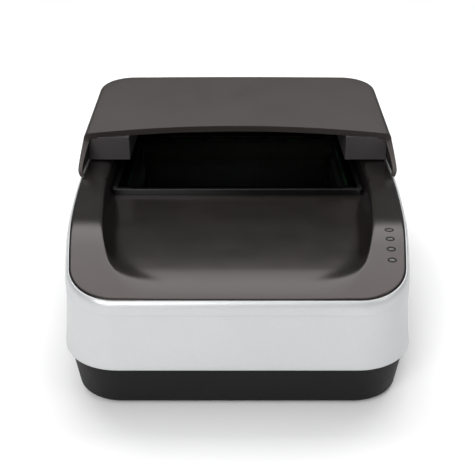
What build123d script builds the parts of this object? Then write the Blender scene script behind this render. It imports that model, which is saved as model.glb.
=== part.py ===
from build123d import *
import math
import os

# Desktop reader for passports and cards, all sizes in millimetres.
# X runs to the right, Y to the back, Z up. The origin lies on the desk, under the middle of the reader.

# Overlap and overrun of joined and cut forms
weld = 0.01
overrun = 1.0
cut_margin = 10.0
below_desk = -10.0

# Overall sizes
overall_depth = 220.0
body_half_width = 82.0
hood_half_width = 85.4
glass_z = 58.2
hood_overhang = 9.5
bezel_from_front = 105.6

# Plan outline of the top panel
front_half_width = 69.6
front_corner_radius = 22.0
back_corner_radius = 19.0
straight_side_length = 70.0

# Side shell
shell_step = 1.9
shell_flare = 2.5
shell_wall = 2.4
shell_bottom_z = 21.8
shell_waist_z = 48.0
shell_top_round = 4.0

# Top panel and its scoop
rim_height = 7.8
front_edge_drop = 11.6
rim_slope = 15.0
rim_roll_reach = 12.0
panel_wall = 2.5
panel_edge = 3.9
panel_thickness_under_posts = 1.0
seam_gap = 0.35
ledge_thickness = 2.0
ledge_width = 3.0
floor_drop = 2.5
well_half_width = 67.6
scoop_lean = 4.2
well_lean = 1.2
scoop_back_from_bezel = 6.0
scoop_waist_bulge = 0.45
scoop_shoulder = (61.3, 44.3)
scoop_bend = (57.0, 25.0)
scoop_mouth = (49.9, 11.7)
scoop_exit_half_width = 38.0
scoop_exit_from_front = 20.0
scoop_start_from_front = 4.0
scoop_crest_from_front = 32.0
scoop_crest_rise = 1.7
scoop_sunk = 0.3
scoop_level_length = 8.0
scoop_swell_from_bezel = 45.0
scoop_swell_rise = 0.85
scoop_loft = (-0.2, 1.8)

# Base tray
tray_inset = 2.0
tray_draft = 2.9
tray_wall = 2.5
foot_height = 2.0
foot_radius = 7.0
foot_round = 0.6
foot_inset = (23.0, 24.0)
tray_lip_height = 5.0
tray_edge_round = 1.2
tray_lip_step = 1.4
fit_gap = 0.2
running_gap = 0.05

# Hood
hood_gap = 0.5
hood_wall = 2.2
hood_skin = 2.6
hood_front_z = 82.0
hood_back_z = 89.6
hood_crown = 0.5
hood_draft = 3.0
hood_back_corner = 20.0
hood_front_taper = 1.4
hood_top_length = 88.0
hood_mouth_arch = 9.0
hood_tip_reach = 23.5
hood_front_reach = 20.0
hood_lip_z = 79.2
hood_edge_round = 2.4
hood_lip_round = 0.9
bumper_radius = 3.0
bumper_recess = 1.0
lining_thickness = 2.0
mouth_half_width = 59.0
block_length = 63.0
block_setback = 1.2
block_wall = 2.0
block_floor = 3.5
block_ceiling = 5.0
boss_inset = 13.0
boss_shift = 2.0
boss_screw_depth = 8.0
bumper_inset = 6.0
bumper_shift = 3.0
lining_from_lip = 4.0
lining_back_gap = 6.0
lining_side_gap = 0.5

# Hinges
hinge_x = 50.0
hinge_clearance = 0.01
knuckle_radius = 3.2
knuckle_gap = 0.6
pin_radius = 1.5
bush_radius = 2.2
bracket_barrel_length = 14.0
hood_barrel_length = 8.0
barrel_end_gap = 0.3
bracket_plate = 1.5
bracket_drop = 14.0
bracket_screw_step = 4.0
bracket_screw_rise = 4.0
bracket_screw_length = 5.5
web_inset = (0.8, 0.2)
web_rise = 4.0

# Glass and its frame
glass_half_width = 63.8
glass_length = 89.5
glass_thickness = 2.0
bezel_rail = 2.2
bezel_rise = 0.4
bezel_corner_share = 0.6
window_border = 4.2
antenna_thickness = 1.0
antenna_width = 5.0

# Optics
housing_half_width = 62.0
housing_front_inset = 4.0
housing_back_inset = 2.0
housing_toe = 14.0
housing_wall = 1.8
housing_top_gap = 0.3
mirror_half_width = 54.0
mirror_length = 68.0
mirror_thickness = 3.0
mirror_tilt = 25.0
mirror_start = 1.5
pad_thickness = 0.5
pad_length = 6.0
pad_inset = 4.0
pad_count = 4
glue_gap = 0.02
ear_reach = 4.0
ear_half_length = 4.0
ear_inset = (8.0, 26.0)
ear_rise = 4.0
ear_thickness = 2.0
housing_foot_z = 20.0
housing_low_z = 8.0
camera_window_half = 22.0
camera_window_height = 26.0
lens_radius = 8.0
lens_wall = 1.8
lens_collar = 0.8
lens_collar_length = 4.0
lens_glass_thickness = 3.0
lens_length = 16.0
sensor_half_width = 4.0
sensor_thickness = 1.2
camera_distance = 34.0
camera_z = 26.0
camera_half_width = 17.0
camera_height = 26.0
camera_thickness = 1.6
camera_border = 1.0
bracket_sheet = 1.5
bracket_foot = 20.0
bracket_screw_from_end = 7.0
light_board_length = 44.0
light_board_height = 9.0
light_board_inset = 10.0
light_board_drop = 2.0
lamp_count = 8
lamp_inset = 4.0
lamp_size = 2.8
lamp_rise = 0.8
lamp_height = 3.0
diffuser_depth = 3.0
diffuser_border = 1.0
diffuser_wall = (1.2, 0.9)
diffuser_clearance = 0.1
presence_sensor_x = -30.0
presence_sensor_size = (8.0, 3.0, 4.0)

# Electronics and fasteners
board_thickness = 1.6
board_z = 10.0
board_screw_inset = 5.0
board_screw_length = 4.5
main_board_half_width = 54.0
main_board_length = 46.0
main_board_inset = 12.0
main_board_parts = ((-38, 14, 14, 8, 3), (14, 12, 10, 10, 1.2), (34, 30, 12, 6, 5), (-34, 32, 8, 8, 2))
connector_board_half_width = 42.0
connector_board_length = 26.0
connector_board_inset = 4.0
plug_half_width = 8.0
plug_inset = 4.0
plug_length = 6.0
plug_height = 3.0
processor_half_width = 7.0
processor_height = 1.4
processor_inset = 24.0
cooler_half_width = 11.0
cooler_base = 2.0
cooler_height = 9.0
fin_count = 6
fin_thickness = 1.5
standoff_radius = 3.0
screw_radius = 1.25
screw_head_radius = 2.6
screw_head_height = 1.8
thread_gap = 0.02
head_gap = 0.6
case_screw_inset = ((10.2, 19.0), (8.4, 6.0), (8.8, 16.5))
ear_screw_length = 7.0
ribbon_width = 14.0
ribbon_thickness = 0.6
ribbon_overlap = (8.0, 6.0)
ribbon_floor_gap = 0.2
ribbon_x = 25.0
pillar_radius = 3.4
pillar_foot_z = 24.0
pillar_screw_depth = 10.0
pillar_screw_gap = 2.0
socket_depth = 10.0
socket_floor = 1.0
socket_recess = 0.3
power_radius = 4.0
power_wall = 1.2
power_pin_radius = 1.0
power_block = 6.0
power_x = 20.0
usb_x = 4.0
usb_width = 9.0
usb_height = 3.2
usb_wall = 0.35
usb_tongue = (3.2, 0.35)
foot_recess = 1.0

# Indicators on the right border
indicator_count = 4
indicator_pitch = 6.8
indicator_first = 23.5
indicator_x = 67.4
indicator_slant = 0.083
indicator_length = 4.2
indicator_width = 3.4
indicator_rise = 0.15
indicator_board_z = 54.0
indicator_board_half_width = 2.8
indicator_board_shift = 0.9
indicator_post_radius = 1.2
indicator_board_reach = 1.5

# Places worked out from the sizes above
front_y = -overall_depth / 2 + shell_step + shell_flare
back_y = overall_depth / 2 - hood_overhang
hood_back_y = overall_depth / 2
arc_start_y = back_y - straight_side_length
side_rise = body_half_width - front_half_width
arc_depth = arc_start_y - front_y
side_radius = (arc_depth**2 + side_rise**2) / (2 * side_rise)
rim_z = glass_z + rim_height
floor_z = glass_z - floor_drop
rim_corner_y = front_y + front_edge_drop / math.tan(math.radians(rim_slope))
rim_roll_y = rim_corner_y + rim_roll_reach
rim_slope_y = rim_corner_y - rim_roll_reach * math.cos(math.radians(rim_slope))
rim_radius = rim_roll_reach / math.tan(math.radians(rim_slope / 2))
bezel_front_y = front_y + bezel_from_front
bezel_back_y = bezel_front_y + glass_length + 2 * (bezel_rail + fit_gap)
bezel_half_width = glass_half_width + fit_gap + bezel_rail
well_back_y = bezel_back_y + fit_gap
tray_top_margin = shell_step + shell_flare - tray_inset
hood_bottom_z = rim_z + hood_gap
hood_lip_y = hood_back_y - hood_top_length
hood_tip_y = hood_lip_y - hood_tip_reach
block_y0 = hood_lip_y + block_setback
block_y1 = block_y0 + block_length
axis_y = back_y + shell_step + knuckle_radius + knuckle_gap
axis_z = hood_bottom_z - knuckle_radius - barrel_end_gap
housing_y0 = bezel_front_y + housing_front_inset
housing_y1 = bezel_back_y - housing_back_inset
housing_top_z = floor_z - panel_wall - antenna_thickness - housing_top_gap
slope_start_y = housing_y0 + housing_toe
camera_y = housing_y0 - camera_distance
main_board_y = front_y + main_board_inset
processor_y = main_board_y + processor_inset
connector_board_y = back_y - connector_board_inset - connector_board_length
board_top = board_z + board_thickness
socket_y0 = back_y - socket_depth
socket_z = board_top + usb_height / 2
far = 2 * overall_depth
high = overall_depth


def body_outline(margin=0.0):
    """Plan of the body: level front, long arcs down the sides, straight back; margin grows it."""
    radius = side_radius + margin
    centre_x = body_half_width - side_radius
    y_front = front_y - margin
    y_back = back_y + margin
    x_side = body_half_width + margin
    x_front = centre_x + math.sqrt(radius**2 - (arc_start_y - y_front) ** 2)
    y_mid = (y_front + arc_start_y) / 2
    x_mid = centre_x + math.sqrt(radius**2 - (arc_start_y - y_mid) ** 2)
    with BuildSketch() as plan:
        with BuildLine():
            Line((-x_front, y_front), (x_front, y_front))
            Line((-x_side, y_back), (x_side, y_back))
            for side in (1, -1):
                Line((side * x_side, arc_start_y), (side * x_side, y_back))
                ThreePointArc((side * x_front, y_front), (side * x_mid, y_mid), (side * x_side, arc_start_y))
        make_face()
        fillet(plan.vertices().group_by(Axis.Y)[0], front_corner_radius + margin)
        fillet(plan.vertices().group_by(Axis.Y)[-1], back_corner_radius + margin)
    return plan.sketch


def prism(outline, bottom, top):
    """Straight block of a plan outline between two heights."""
    return extrude(Pos(0, 0, bottom) * outline, amount=top - bottom)


def drafted(low_margin, high_margin, bottom, top):
    """Block of the body's plan whose margin changes evenly from bottom to top."""
    faces = [Pos(0, 0, bottom) * body_outline(low_margin), Pos(0, 0, top) * body_outline(high_margin)]
    return loft(faces, ruled=True)


def across(points, half_width):
    """Block with a side view drawn by (Y, Z) points, reaching half_width to the left and right."""
    side_view = Plane.YZ * make_face(Polyline(*points, close=True))
    return extrude(side_view, amount=half_width, both=True)


def slab(x0, x1, y0, y1, z0, z1):
    """Plain block between two corners."""
    centre = Pos((x0 + x1) / 2, (y0 + y1) / 2, (z0 + z1) / 2)
    return centre * Box(x1 - x0, y1 - y0, z1 - z0)


def post(x, y, z0, z1, radius):
    """Upright round post or hole."""
    return Pos(x, y, (z0 + z1) / 2) * Cylinder(radius, z1 - z0)


def rim_z_at(y):
    """Height of the panel's rim: level at the back, an arc, then an even slope to the front."""
    if y >= rim_roll_y:
        return rim_z
    if y <= rim_slope_y:
        return rim_z - front_edge_drop + (y - front_y) * math.tan(math.radians(rim_slope))
    return rim_z - rim_radius + math.sqrt(rim_radius**2 - (rim_roll_y - y) ** 2)


def below_rim(drop=0.0):
    """All that lies below the rim line."""
    y_end = front_y - cut_margin
    y_mid = (rim_slope_y + rim_roll_y) / 2
    points = [(y, rim_z_at(y) - drop) for y in (rim_slope_y, y_mid, rim_roll_y)]
    with BuildSketch(Plane.YZ) as view:
        with BuildLine():
            Polyline(
                (rim_roll_y, rim_z - drop),
                (far, rim_z - drop),
                (far, below_desk),
                (y_end, below_desk),
                (y_end, rim_z_at(y_end) - drop),
                points[0],
            )
            ThreePointArc(*points)
        make_face()
    return extrude(view.sketch, amount=far, both=True)


def above_floor(drop=0.0):
    """All that lies above the scoop's floor: a long swell, a soft crest in front, then along the rim."""
    start_y = front_y + scoop_start_from_front
    sunk = scoop_sunk + drop
    level_y = bezel_front_y - scoop_level_length
    crest_y = front_y + scoop_crest_from_front
    start = (start_y, rim_z_at(start_y) - sunk)
    crest = (crest_y, rim_z_at(start_y) + scoop_crest_rise - sunk)
    swell = (bezel_front_y - scoop_swell_from_bezel, floor_z + scoop_swell_rise - drop)
    slope = (1, math.tan(math.radians(rim_slope)))
    y_out = front_y - cut_margin
    out = (y_out, rim_z_at(y_out) - sunk)
    with BuildSketch(Plane.YZ) as view:
        with BuildLine():
            Polyline((level_y, floor_z - drop), (far, floor_z - drop), (far, high), (y_out, high), out, start)
            Spline(start, crest, swell, (level_y, floor_z - drop), tangents=(slope, (1, 0)))
        make_face()
    return extrude(view.sketch, amount=far, both=True)


def scoop_outline(depth, grow=0.0):
    """Plan of scoop and well; depth is 0 at the rim and 1 at the floor, and grow widens it."""
    lean = scoop_lean * depth - grow
    back_x = well_half_width - well_lean * depth + grow
    exit_x = scoop_exit_half_width - lean
    y_end = well_back_y + grow
    y_exit = front_y - scoop_exit_from_front
    with BuildSketch() as plan:
        with BuildLine():
            for side in (1, -1):
                back = (side * back_x, bezel_front_y - scoop_back_from_bezel)
                shoulder = (side * (scoop_shoulder[0] - lean), front_y + scoop_shoulder[1])
                mouth = (side * (scoop_mouth[0] - lean), front_y + scoop_mouth[1])
                waist_x = (back_x + scoop_shoulder[0] - lean) / 2 + scoop_waist_bulge
                waist = (side * waist_x, (back[1] + shoulder[1]) / 2)
                bend = (side * (scoop_bend[0] - lean), front_y + scoop_bend[1])
                Line((side * back_x, y_end), back)
                ThreePointArc(back, waist, shoulder)
                ThreePointArc(shoulder, bend, mouth)
                Line(mouth, (side * exit_x, y_exit))
            Line((-back_x, y_end), (back_x, y_end))
            Line((-exit_x, y_exit), (exit_x, y_exit))
        make_face()
    return plan.sketch


def scoop_space(grow=0.0):
    """The open space of scoop and well, with walls that lean in towards the floor."""
    wall_height = rim_z - floor_z
    faces = [Pos(0, 0, rim_z - wall_height * depth) * scoop_outline(depth, grow) for depth in scoop_loft]
    return loft(faces, ruled=True) & above_floor(grow)


def shell_block():
    """Outer form of the side shell: flared below the waist, upright above it, rounded along its top."""
    flared = drafted(shell_step + shell_flare, shell_step, shell_bottom_z, shell_waist_z)
    upright = prism(body_outline(shell_step), shell_waist_z, high) & below_rim()
    crown = [face for face in upright.faces() if face.normal_at().Z > 0.5]
    creases = (rim_slope_y, rim_roll_y)
    rim_edges = [
        edge
        for face in crown
        for edge in face.edges()
        if edge.bounding_box().size.Y > weld or min(abs(edge.center().Y - y) for y in creases) > weld
    ]
    return flared + fillet(rim_edges, shell_top_round)


def side_shell():
    """Painted ring between tray and top panel, with a ledge that carries the panel."""
    inner_bottom = shell_step + shell_flare - shell_wall
    inner_waist = shell_step - shell_wall
    ledge = panel_edge + ledge_thickness
    ring = shell_block()
    ring -= drafted(inner_bottom, inner_waist, shell_bottom_z, shell_waist_z)
    ring -= prism(body_outline(inner_waist), shell_waist_z - overrun, high) & below_rim(ledge)
    ring -= prism(body_outline(-ledge_width), shell_bottom_z, high)
    ring -= prism(body_outline(), shell_bottom_z, high) - below_rim(panel_edge)
    wall_y = back_y + shell_step
    for x, z in hinge_screw_places():
        ring -= along_back(x, z, wall_y - 2 * shell_wall - bracket_screw_rise, wall_y + overrun, screw_radius)
    return ring


def top_panel():
    """Top panel: rolled border, scoop with a floor that runs out to the front, well for the glass."""
    skirt = prism(body_outline(-seam_gap), shell_bottom_z, high) & below_rim()
    skirt -= prism(body_outline(overrun), 0, high) & below_rim(panel_edge)
    inside = prism(body_outline(-seam_gap - panel_wall), shell_bottom_z - overrun, high)
    tub = prism(body_outline(-seam_gap - panel_wall + weld), floor_z - cut_margin, high) & below_rim()
    tub &= scoop_space(panel_wall)
    panel = skirt - (inside & below_rim(panel_wall)) + tub
    panel -= scoop_space()
    panel -= slab(*window_corners(), floor_z - cut_margin, floor_z + overrun)
    beside_ledge = prism(body_outline(overrun), 0, high)
    beside_ledge -= prism(body_outline(-ledge_width - fit_gap), 0, high)
    beside_ledge &= below_rim(panel_edge)
    panel -= beside_ledge
    for x, y in case_screw_places():
        pillar = post(x, y, pillar_foot_z, rim_z_at(y) - panel_thickness_under_posts, pillar_radius)
        panel += pillar - scoop_space(panel_wall / 2) - beside_ledge
        panel -= post(x, y, pillar_foot_z - overrun, pillar_foot_z + pillar_screw_depth, screw_radius)
    for x, y in indicator_places():
        panel -= indicator_form(x, y, running_gap)
    for x, y in indicator_post_places():
        top = rim_z_at(y) - panel_thickness_under_posts
        panel += post(x, y, indicator_board_z, top, indicator_post_radius)
    return panel


def window_corners():
    """Left, right, front and back of the window in the well's floor."""
    half = glass_half_width - window_border
    front = bezel_front_y + bezel_rail + fit_gap + window_border
    return -half, half, front, bezel_back_y - bezel_rail - fit_gap - window_border


def frame(half_outer, y0, y1, rail, z0, z1):
    """Flat rectangular frame with rails of one width."""
    half_inner = half_outer - rail
    outer = slab(-half_outer, half_outer, y0, y1, z0, z1)
    return outer - slab(-half_inner, half_inner, y0 + rail, y1 - rail, z0 - overrun, z1 + overrun)


def glass_bezel():
    """Raised frame round the glass, with rounded front corners."""
    rails = frame(bezel_half_width, bezel_front_y, bezel_back_y, bezel_rail, floor_z, glass_z + bezel_rise)
    upright = rails.edges().filter_by(Axis.Z).sort_by(Axis.Y)
    outer_front = [edge for edge in upright[:4] if abs(edge.center().X) > bezel_half_width - bezel_rail / 2]
    rails = fillet(outer_front, bezel_rail * bezel_corner_share)
    return rails


def document_glass():
    """Clear plate that documents lie on."""
    y0 = bezel_front_y + bezel_rail + fit_gap
    plate_bottom = glass_z - glass_thickness
    return slab(-glass_half_width, glass_half_width, y0, y0 + glass_length, plate_bottom, glass_z)


def glass_gasket():
    """Black foam frame between the glass and the well's floor."""
    y0 = bezel_front_y + bezel_rail + fit_gap
    top = glass_z - glass_thickness
    return frame(glass_half_width, y0, y0 + glass_length, window_border, floor_z, top)


def reader_antenna():
    """Frame-shaped board with the antenna that reads chips, glued under the well's floor."""
    x0, x1, y0, y1 = window_corners()
    top = floor_z - panel_wall
    width = antenna_width
    return frame(x1 + width, y0 - width, y1 + width, width, top - antenna_thickness, top)


def tray_margin_at(z):
    """How far the tray's outside stands off the body's plan at a height."""
    share = (z - foot_height) / (shell_bottom_z - foot_height)
    return tray_top_margin - tray_draft * (1 - share)


def base_tray():
    """Black tray: drafted outside, lip inside the shell, bosses for screws and boards, openings behind."""
    floor_top = foot_height + tray_wall
    lip_top = shell_bottom_z + tray_lip_height
    share = tray_lip_height / (shell_waist_z - shell_bottom_z)
    lip_margin = shell_step - shell_wall + shell_flare * (1 - share) - fit_gap
    tray = drafted(tray_margin_at(foot_height), tray_top_margin, foot_height, shell_bottom_z)
    tray = fillet(tray.faces().sort_by(Axis.Z)[0].edges(), tray_edge_round)
    tray += prism(body_outline(lip_margin), shell_bottom_z, lip_top)
    inner_top = tray_top_margin - tray_wall - tray_lip_step
    tray -= drafted(tray_margin_at(floor_top) - tray_wall, inner_top, floor_top, shell_bottom_z)
    tray -= prism(body_outline(inner_top), shell_bottom_z - overrun / 2, lip_top + overrun)
    for x, y in case_screw_places():
        tray += post(x, y, floor_top - overrun, pillar_foot_z, pillar_radius)
        tray -= post(x, y, 0, foot_height + screw_head_height + head_gap, screw_head_radius + fit_gap)
        tray -= post(x, y, 0, pillar_foot_z + overrun, screw_radius + fit_gap)
    for x, y in board_screw_places():
        tray += post(x, y, floor_top - overrun, board_z, standoff_radius)
        tray -= post(x, y, floor_top, board_z + overrun, screw_radius)
    for x, y, z in housing_ears():
        tray += post(x, y, floor_top - overrun, z, standoff_radius)
        tray -= post(x, y, floor_top, z + overrun, screw_radius)
    for x, y in foot_places():
        tray -= post(x, y, 0, foot_height + foot_recess, foot_radius + fit_gap)
    tray -= usb_form(running_gap)
    tray -= power_form(running_gap)
    return tray


def mirrored_places(points):
    """Each (x, y) place on the right and its twin on the left."""
    return [(side * x, y) for x, y in points for side in (1, -1)]


def case_screw_places():
    """Six screws that hold tray, shell and top panel together."""
    (front_x, from_front), (middle_x, from_bezel), (back_x, from_back) = case_screw_inset
    front = (front_half_width - front_x, front_y + from_front)
    middle = (body_half_width - middle_x, bezel_front_y - from_bezel)
    back = (body_half_width - back_x, back_y - from_back)
    return mirrored_places([front, middle, back])


def board_screw_places():
    """Screws of the main board, the connector board and the camera bracket."""
    inset = board_screw_inset
    main_x = main_board_half_width - inset
    plug_x = connector_board_half_width - inset
    bracket_x = camera_half_width - standoff_radius
    bracket_y = camera_y + bracket_foot - bracket_screw_from_end
    places = [(main_x, main_board_y + inset), (main_x, main_board_y + main_board_length - inset)]
    places += [(plug_x, connector_board_y + inset), (bracket_x, bracket_y)]
    return mirrored_places(places)


def housing_ears():
    """Ears of the optical housing, as (x, y, seat height): low in front, high behind."""
    x = housing_half_width + ear_reach
    front = (housing_y0 + ear_inset[0], housing_foot_z)
    back_place = housing_y1 - ear_inset[1]
    back = (back_place, slope_z(back_place) + ear_rise)
    return [(side * x, y, z) for side in (1, -1) for y, z in (front, back)]


def foot_places():
    """Four rubber feet."""
    from_side, from_end = foot_inset
    front = (front_half_width - from_side, front_y + from_end)
    back = (body_half_width - from_end, back_y - from_end)
    return mirrored_places([front, back])


def indicator_places():
    """Row of lamps on the right border, following the border's slant."""
    for index in range(indicator_count):
        along = index * indicator_pitch
        yield indicator_x + indicator_slant * along, front_y + indicator_first + along


def indicator_form(x, y, gap=0.0):
    """Oval lamp window, cut off along the rim line."""
    oval = Pos(x, y) * SlotOverall(indicator_length + 2 * gap, indicator_width + 2 * gap)
    return prism(oval, indicator_board_z, rim_z + overrun) & below_rim(-indicator_rise)


def indicator_lenses():
    """Four lamp windows as separate solids."""
    return Compound(children=[indicator_form(x, y) for x, y in indicator_places()])


def indicator_post_places():
    """Two posts under the border, between the lamps, that carry the lamp board."""
    places = list(indicator_places())
    pairs = [(places[0], places[1]), (places[-2], places[-1])]
    return [((a[0] + b[0]) / 2, (a[1] + b[1]) / 2) for a, b in pairs]


def indicator_board():
    """Narrow slanted board under the lamp windows."""
    places = list(indicator_places())
    (x0, y0), (x1, y1) = places[0], places[-1]
    half = indicator_board_half_width
    reach = indicator_width / 2 + indicator_board_reach
    y0, y1 = y0 - reach, y1 + reach
    corners = [(x0 - half, y0), (x0 + half, y0), (x1 + half, y1), (x1 - half, y1)]
    board = Pos(-indicator_board_shift) * make_face(Polyline(*corners, close=True))
    return prism(board, indicator_board_z - board_thickness, indicator_board_z)


def usb_form(gap=0.0):
    """Outside of the flat data socket."""
    plan = SlotOverall(usb_width + 2 * gap, usb_height + 2 * gap)
    depth = back_y + tray_top_margin - socket_y0
    return Pos(-usb_x, socket_y0, socket_z) * Rot(X=-90) * extrude(plan, amount=depth + gap)


def power_form(gap=0.0):
    """Outside of the round power inlet."""
    depth = back_y + tray_top_margin - socket_y0
    centre = Pos(power_x, socket_y0, board_z + board_thickness + power_radius)
    return centre * Rot(X=-90) * extrude(Circle(power_radius + gap), amount=depth + gap)


def inside_tray_back():
    """Space in front of the tray's sloping back wall, where the sockets end."""
    low_margin = tray_margin_at(foot_height) - socket_recess
    return drafted(low_margin, tray_top_margin - socket_recess, foot_height, shell_bottom_z)


def usb_socket():
    """Metal shell of the data socket with its tongue."""
    shell = usb_form() & inside_tray_back()
    mouth_view = SlotOverall(usb_width - 2 * usb_wall, usb_height - 2 * usb_wall)
    mouth = Pos(-usb_x, socket_y0 + socket_floor, socket_z) * Rot(X=-90) * extrude(mouth_view, amount=far)
    half, thin = usb_tongue
    y0, y1 = socket_y0 + socket_floor / 2, back_y - socket_floor
    tongue = slab(-usb_x - half, -usb_x + half, y0, y1, socket_z - thin, socket_z + thin)
    return shell - mouth + tongue


def power_inlet():
    """Round inlet with its centre pin."""
    z = board_z + board_thickness + power_radius
    barrel = power_form() & inside_tray_back()
    inlet = Pos(power_x, socket_y0, z) * Rot(X=-90)
    bore = inlet * Pos(0, 0, socket_floor) * extrude(Circle(power_radius - power_wall), amount=far)
    pin_length = socket_depth - socket_floor
    pin = inlet * Pos(0, 0, socket_floor / 2) * extrude(Circle(power_pin_radius), amount=pin_length)
    left, right = power_x - power_radius, power_x + power_radius
    block = slab(left, right, socket_y0, socket_y0 + power_block, z - power_radius, z)
    return barrel + block - bore + pin


def main_board():
    """Main circuit board with its low parts."""
    half, y0 = main_board_half_width, main_board_y
    board = slab(-half, half, y0, y0 + main_board_length, board_z, board_top)
    for x, along, length, width, tall in main_board_parts:
        y = y0 + along
        board += slab(x - length / 2, x + length / 2, y - width / 2, y + width / 2, board_z, board_top + tall)
    return drill(board, board_screw_places())


def connector_board():
    """Small board behind, which carries the sockets."""
    half, y0 = connector_board_half_width, connector_board_y
    board = slab(-half, half, y0, y0 + connector_board_length, board_z, board_top)
    plug_y = y0 + plug_inset
    plug_top = board_top + plug_height
    board += slab(-plug_half_width, plug_half_width, plug_y, plug_y + plug_length, board_z, plug_top)
    return drill(board, board_screw_places())


def drill(board, places):
    """Screw holes through a board."""
    for x, y in places:
        board -= post(x, y, board_z - overrun, board_top + overrun, screw_radius + fit_gap)
    return board


def processor():
    """Main chip."""
    half = processor_half_width
    return slab(-half, half, processor_y - half, processor_y + half, board_top, board_top + processor_height)


def heat_sink():
    """Finned cooler on the chip."""
    half = cooler_half_width
    y0, y1 = processor_y - half, processor_y + half
    z0 = board_top + processor_height
    cooler = slab(-half, half, y0, y1, z0, z0 + cooler_base)
    pitch = (2 * half - fin_thickness) / (fin_count - 1)
    for index in range(fin_count):
        x = -half + index * pitch
        cooler += slab(x, x + fin_thickness, y0, y1, z0 + cooler_base / 2, z0 + cooler_height)
    return cooler


def link_ribbon():
    """Flat cable from the main board to the connector board, along the tray's floor."""
    overlap = ribbon_overlap[0]
    y0 = main_board_y + main_board_length - overlap
    y1 = connector_board_y + overlap
    low = foot_height + tray_wall + ribbon_floor_gap
    half = ribbon_width / 2
    strip = slab(-ribbon_x - half, -ribbon_x + half, y0, y1, low, low + ribbon_thickness)
    strip += slab(-ribbon_x - half, -ribbon_x + half, y0, y0 + ribbon_thickness, low, board_z)
    return strip + slab(-ribbon_x - half, -ribbon_x + half, y1 - ribbon_thickness, y1, low, board_z)


def camera_ribbon():
    """Flat cable from the main board up to the camera board."""
    overlap = ribbon_overlap[1]
    y0 = main_board_y + main_board_length - overlap
    y1 = camera_y - camera_thickness - ribbon_thickness
    half = ribbon_width / 2
    strip = slab(-half, half, y0, y1 + ribbon_thickness, board_top, board_top + ribbon_thickness)
    return strip + slab(-half, half, y1, y1 + ribbon_thickness, board_top, camera_z - overlap)


def camera_bracket():
    """Folded steel bracket that holds the camera upright."""
    half = camera_half_width
    plate = slab(-half, half, camera_y, camera_y + bracket_sheet, board_z, camera_z + camera_height / 2)
    foot = slab(-half, half, camera_y, camera_y + bracket_foot, board_z, board_z + bracket_sheet)
    bore_end = camera_y + bracket_sheet + overrun
    bore = along_y(lens_radius + fit_gap / 2, camera_y - overrun, bore_end, camera_z)
    return drill(plate + foot - bore, board_screw_places())


def camera_board():
    """Circuit board behind the lens."""
    half = camera_half_width - camera_border
    tall = camera_height / 2 - camera_border
    return slab(-half, half, camera_y - camera_thickness, camera_y, camera_z - tall, camera_z + tall)


def along_y(radius, y0, y1, z):
    """Round bar that points to the back."""
    return Pos(0, (y0 + y1) / 2, z) * Rot(X=90) * Cylinder(radius, y1 - y0)


def lens_barrel():
    """Black tube in front of the image sensor."""
    end = camera_y + lens_length
    tube = along_y(lens_radius, camera_y, end, camera_z)
    tube += along_y(lens_radius + lens_collar, end - lens_collar_length, end, camera_z)
    return tube - along_y(lens_radius - lens_wall, camera_y - overrun, end + overrun, camera_z)


def camera_lens():
    """Front glass of the camera."""
    start = camera_y + lens_length - lens_collar_length
    return along_y(lens_radius - lens_wall - glue_gap, start, start + lens_glass_thickness, camera_z)


def image_sensor():
    """Sensor chip on the camera board."""
    half = sensor_half_width
    return slab(-half, half, camera_y, camera_y + sensor_thickness, camera_z - half, camera_z + half)


def slope_z(y):
    """Height of the housing's sloping underside."""
    return housing_low_z + math.tan(math.radians(mirror_tilt)) * max(0, y - slope_start_y)


def housing_view(inset, lift=0.0):
    """Side view of the optical housing as (Y, Z) points, drawn in by a wall."""
    tilt = math.radians(mirror_tilt)
    rise = inset / math.cos(tilt)
    y0, y1 = housing_y0 + inset, housing_y1 - inset
    return [
        (y0, housing_top_z + lift),
        (y0, housing_low_z + inset),
        (slope_start_y - (rise - inset) / math.tan(tilt), housing_low_z + inset),
        (y1, slope_z(y1) + rise),
        (y1, housing_top_z + lift),
    ]


def optical_housing():
    """Black open box under the glass, with a sloping floor for the mirror and a window for the camera."""
    wall = housing_wall
    box = across(housing_view(0), housing_half_width)
    box -= across(housing_view(wall, overrun), housing_half_width - wall)
    half = camera_window_half
    low = camera_z - camera_window_height / 2
    y0, y1 = housing_y0 - overrun, housing_y0 + wall + overrun
    box -= slab(-half, half, y0, y1, low, low + camera_window_height)
    for x, y, z in housing_ears():
        side = math.copysign(1, x)
        inner = side * (housing_half_width - wall / 2)
        tip = side * (housing_half_width + ear_reach + standoff_radius)
        top = z + ear_thickness
        ear = slab(min(inner, tip), max(inner, tip), y - ear_half_length, y + ear_half_length, z, top)
        box += ear - post(x, y, z - overrun, top + overrun, screw_radius + fit_gap)
    return box


def on_slope(along0, along1, half_width, z0, z1):
    """Flat plate lying on the housing's sloping floor, its place measured along the slope."""
    angle = math.radians(mirror_tilt)
    run, rise = math.cos(angle), math.sin(angle)
    base_z = housing_low_z + housing_wall / run
    corners = [(along0, z0), (along1, z0), (along1, z1), (along0, z1)]
    points = [(slope_start_y + a * run - b * rise, base_z + a * rise + b * run) for a, b in corners]
    return across(points, half_width)


def fold_mirror():
    """Mirror that turns the camera's view up to the glass."""
    end = mirror_start + mirror_length
    return on_slope(mirror_start, end, mirror_half_width, pad_thickness, pad_thickness + mirror_thickness)


def mirror_pads():
    """Four adhesive strips under the mirror."""
    pads = []
    pitch = (mirror_length - 2 * pad_inset - pad_length) / (pad_count - 1)
    for index in range(pad_count):
        start = mirror_start + pad_inset + index * pitch
        half = mirror_half_width - pad_length
        pads.append(on_slope(start, start + pad_length, half, glue_gap, pad_thickness))
    return Compound(children=pads)


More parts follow.
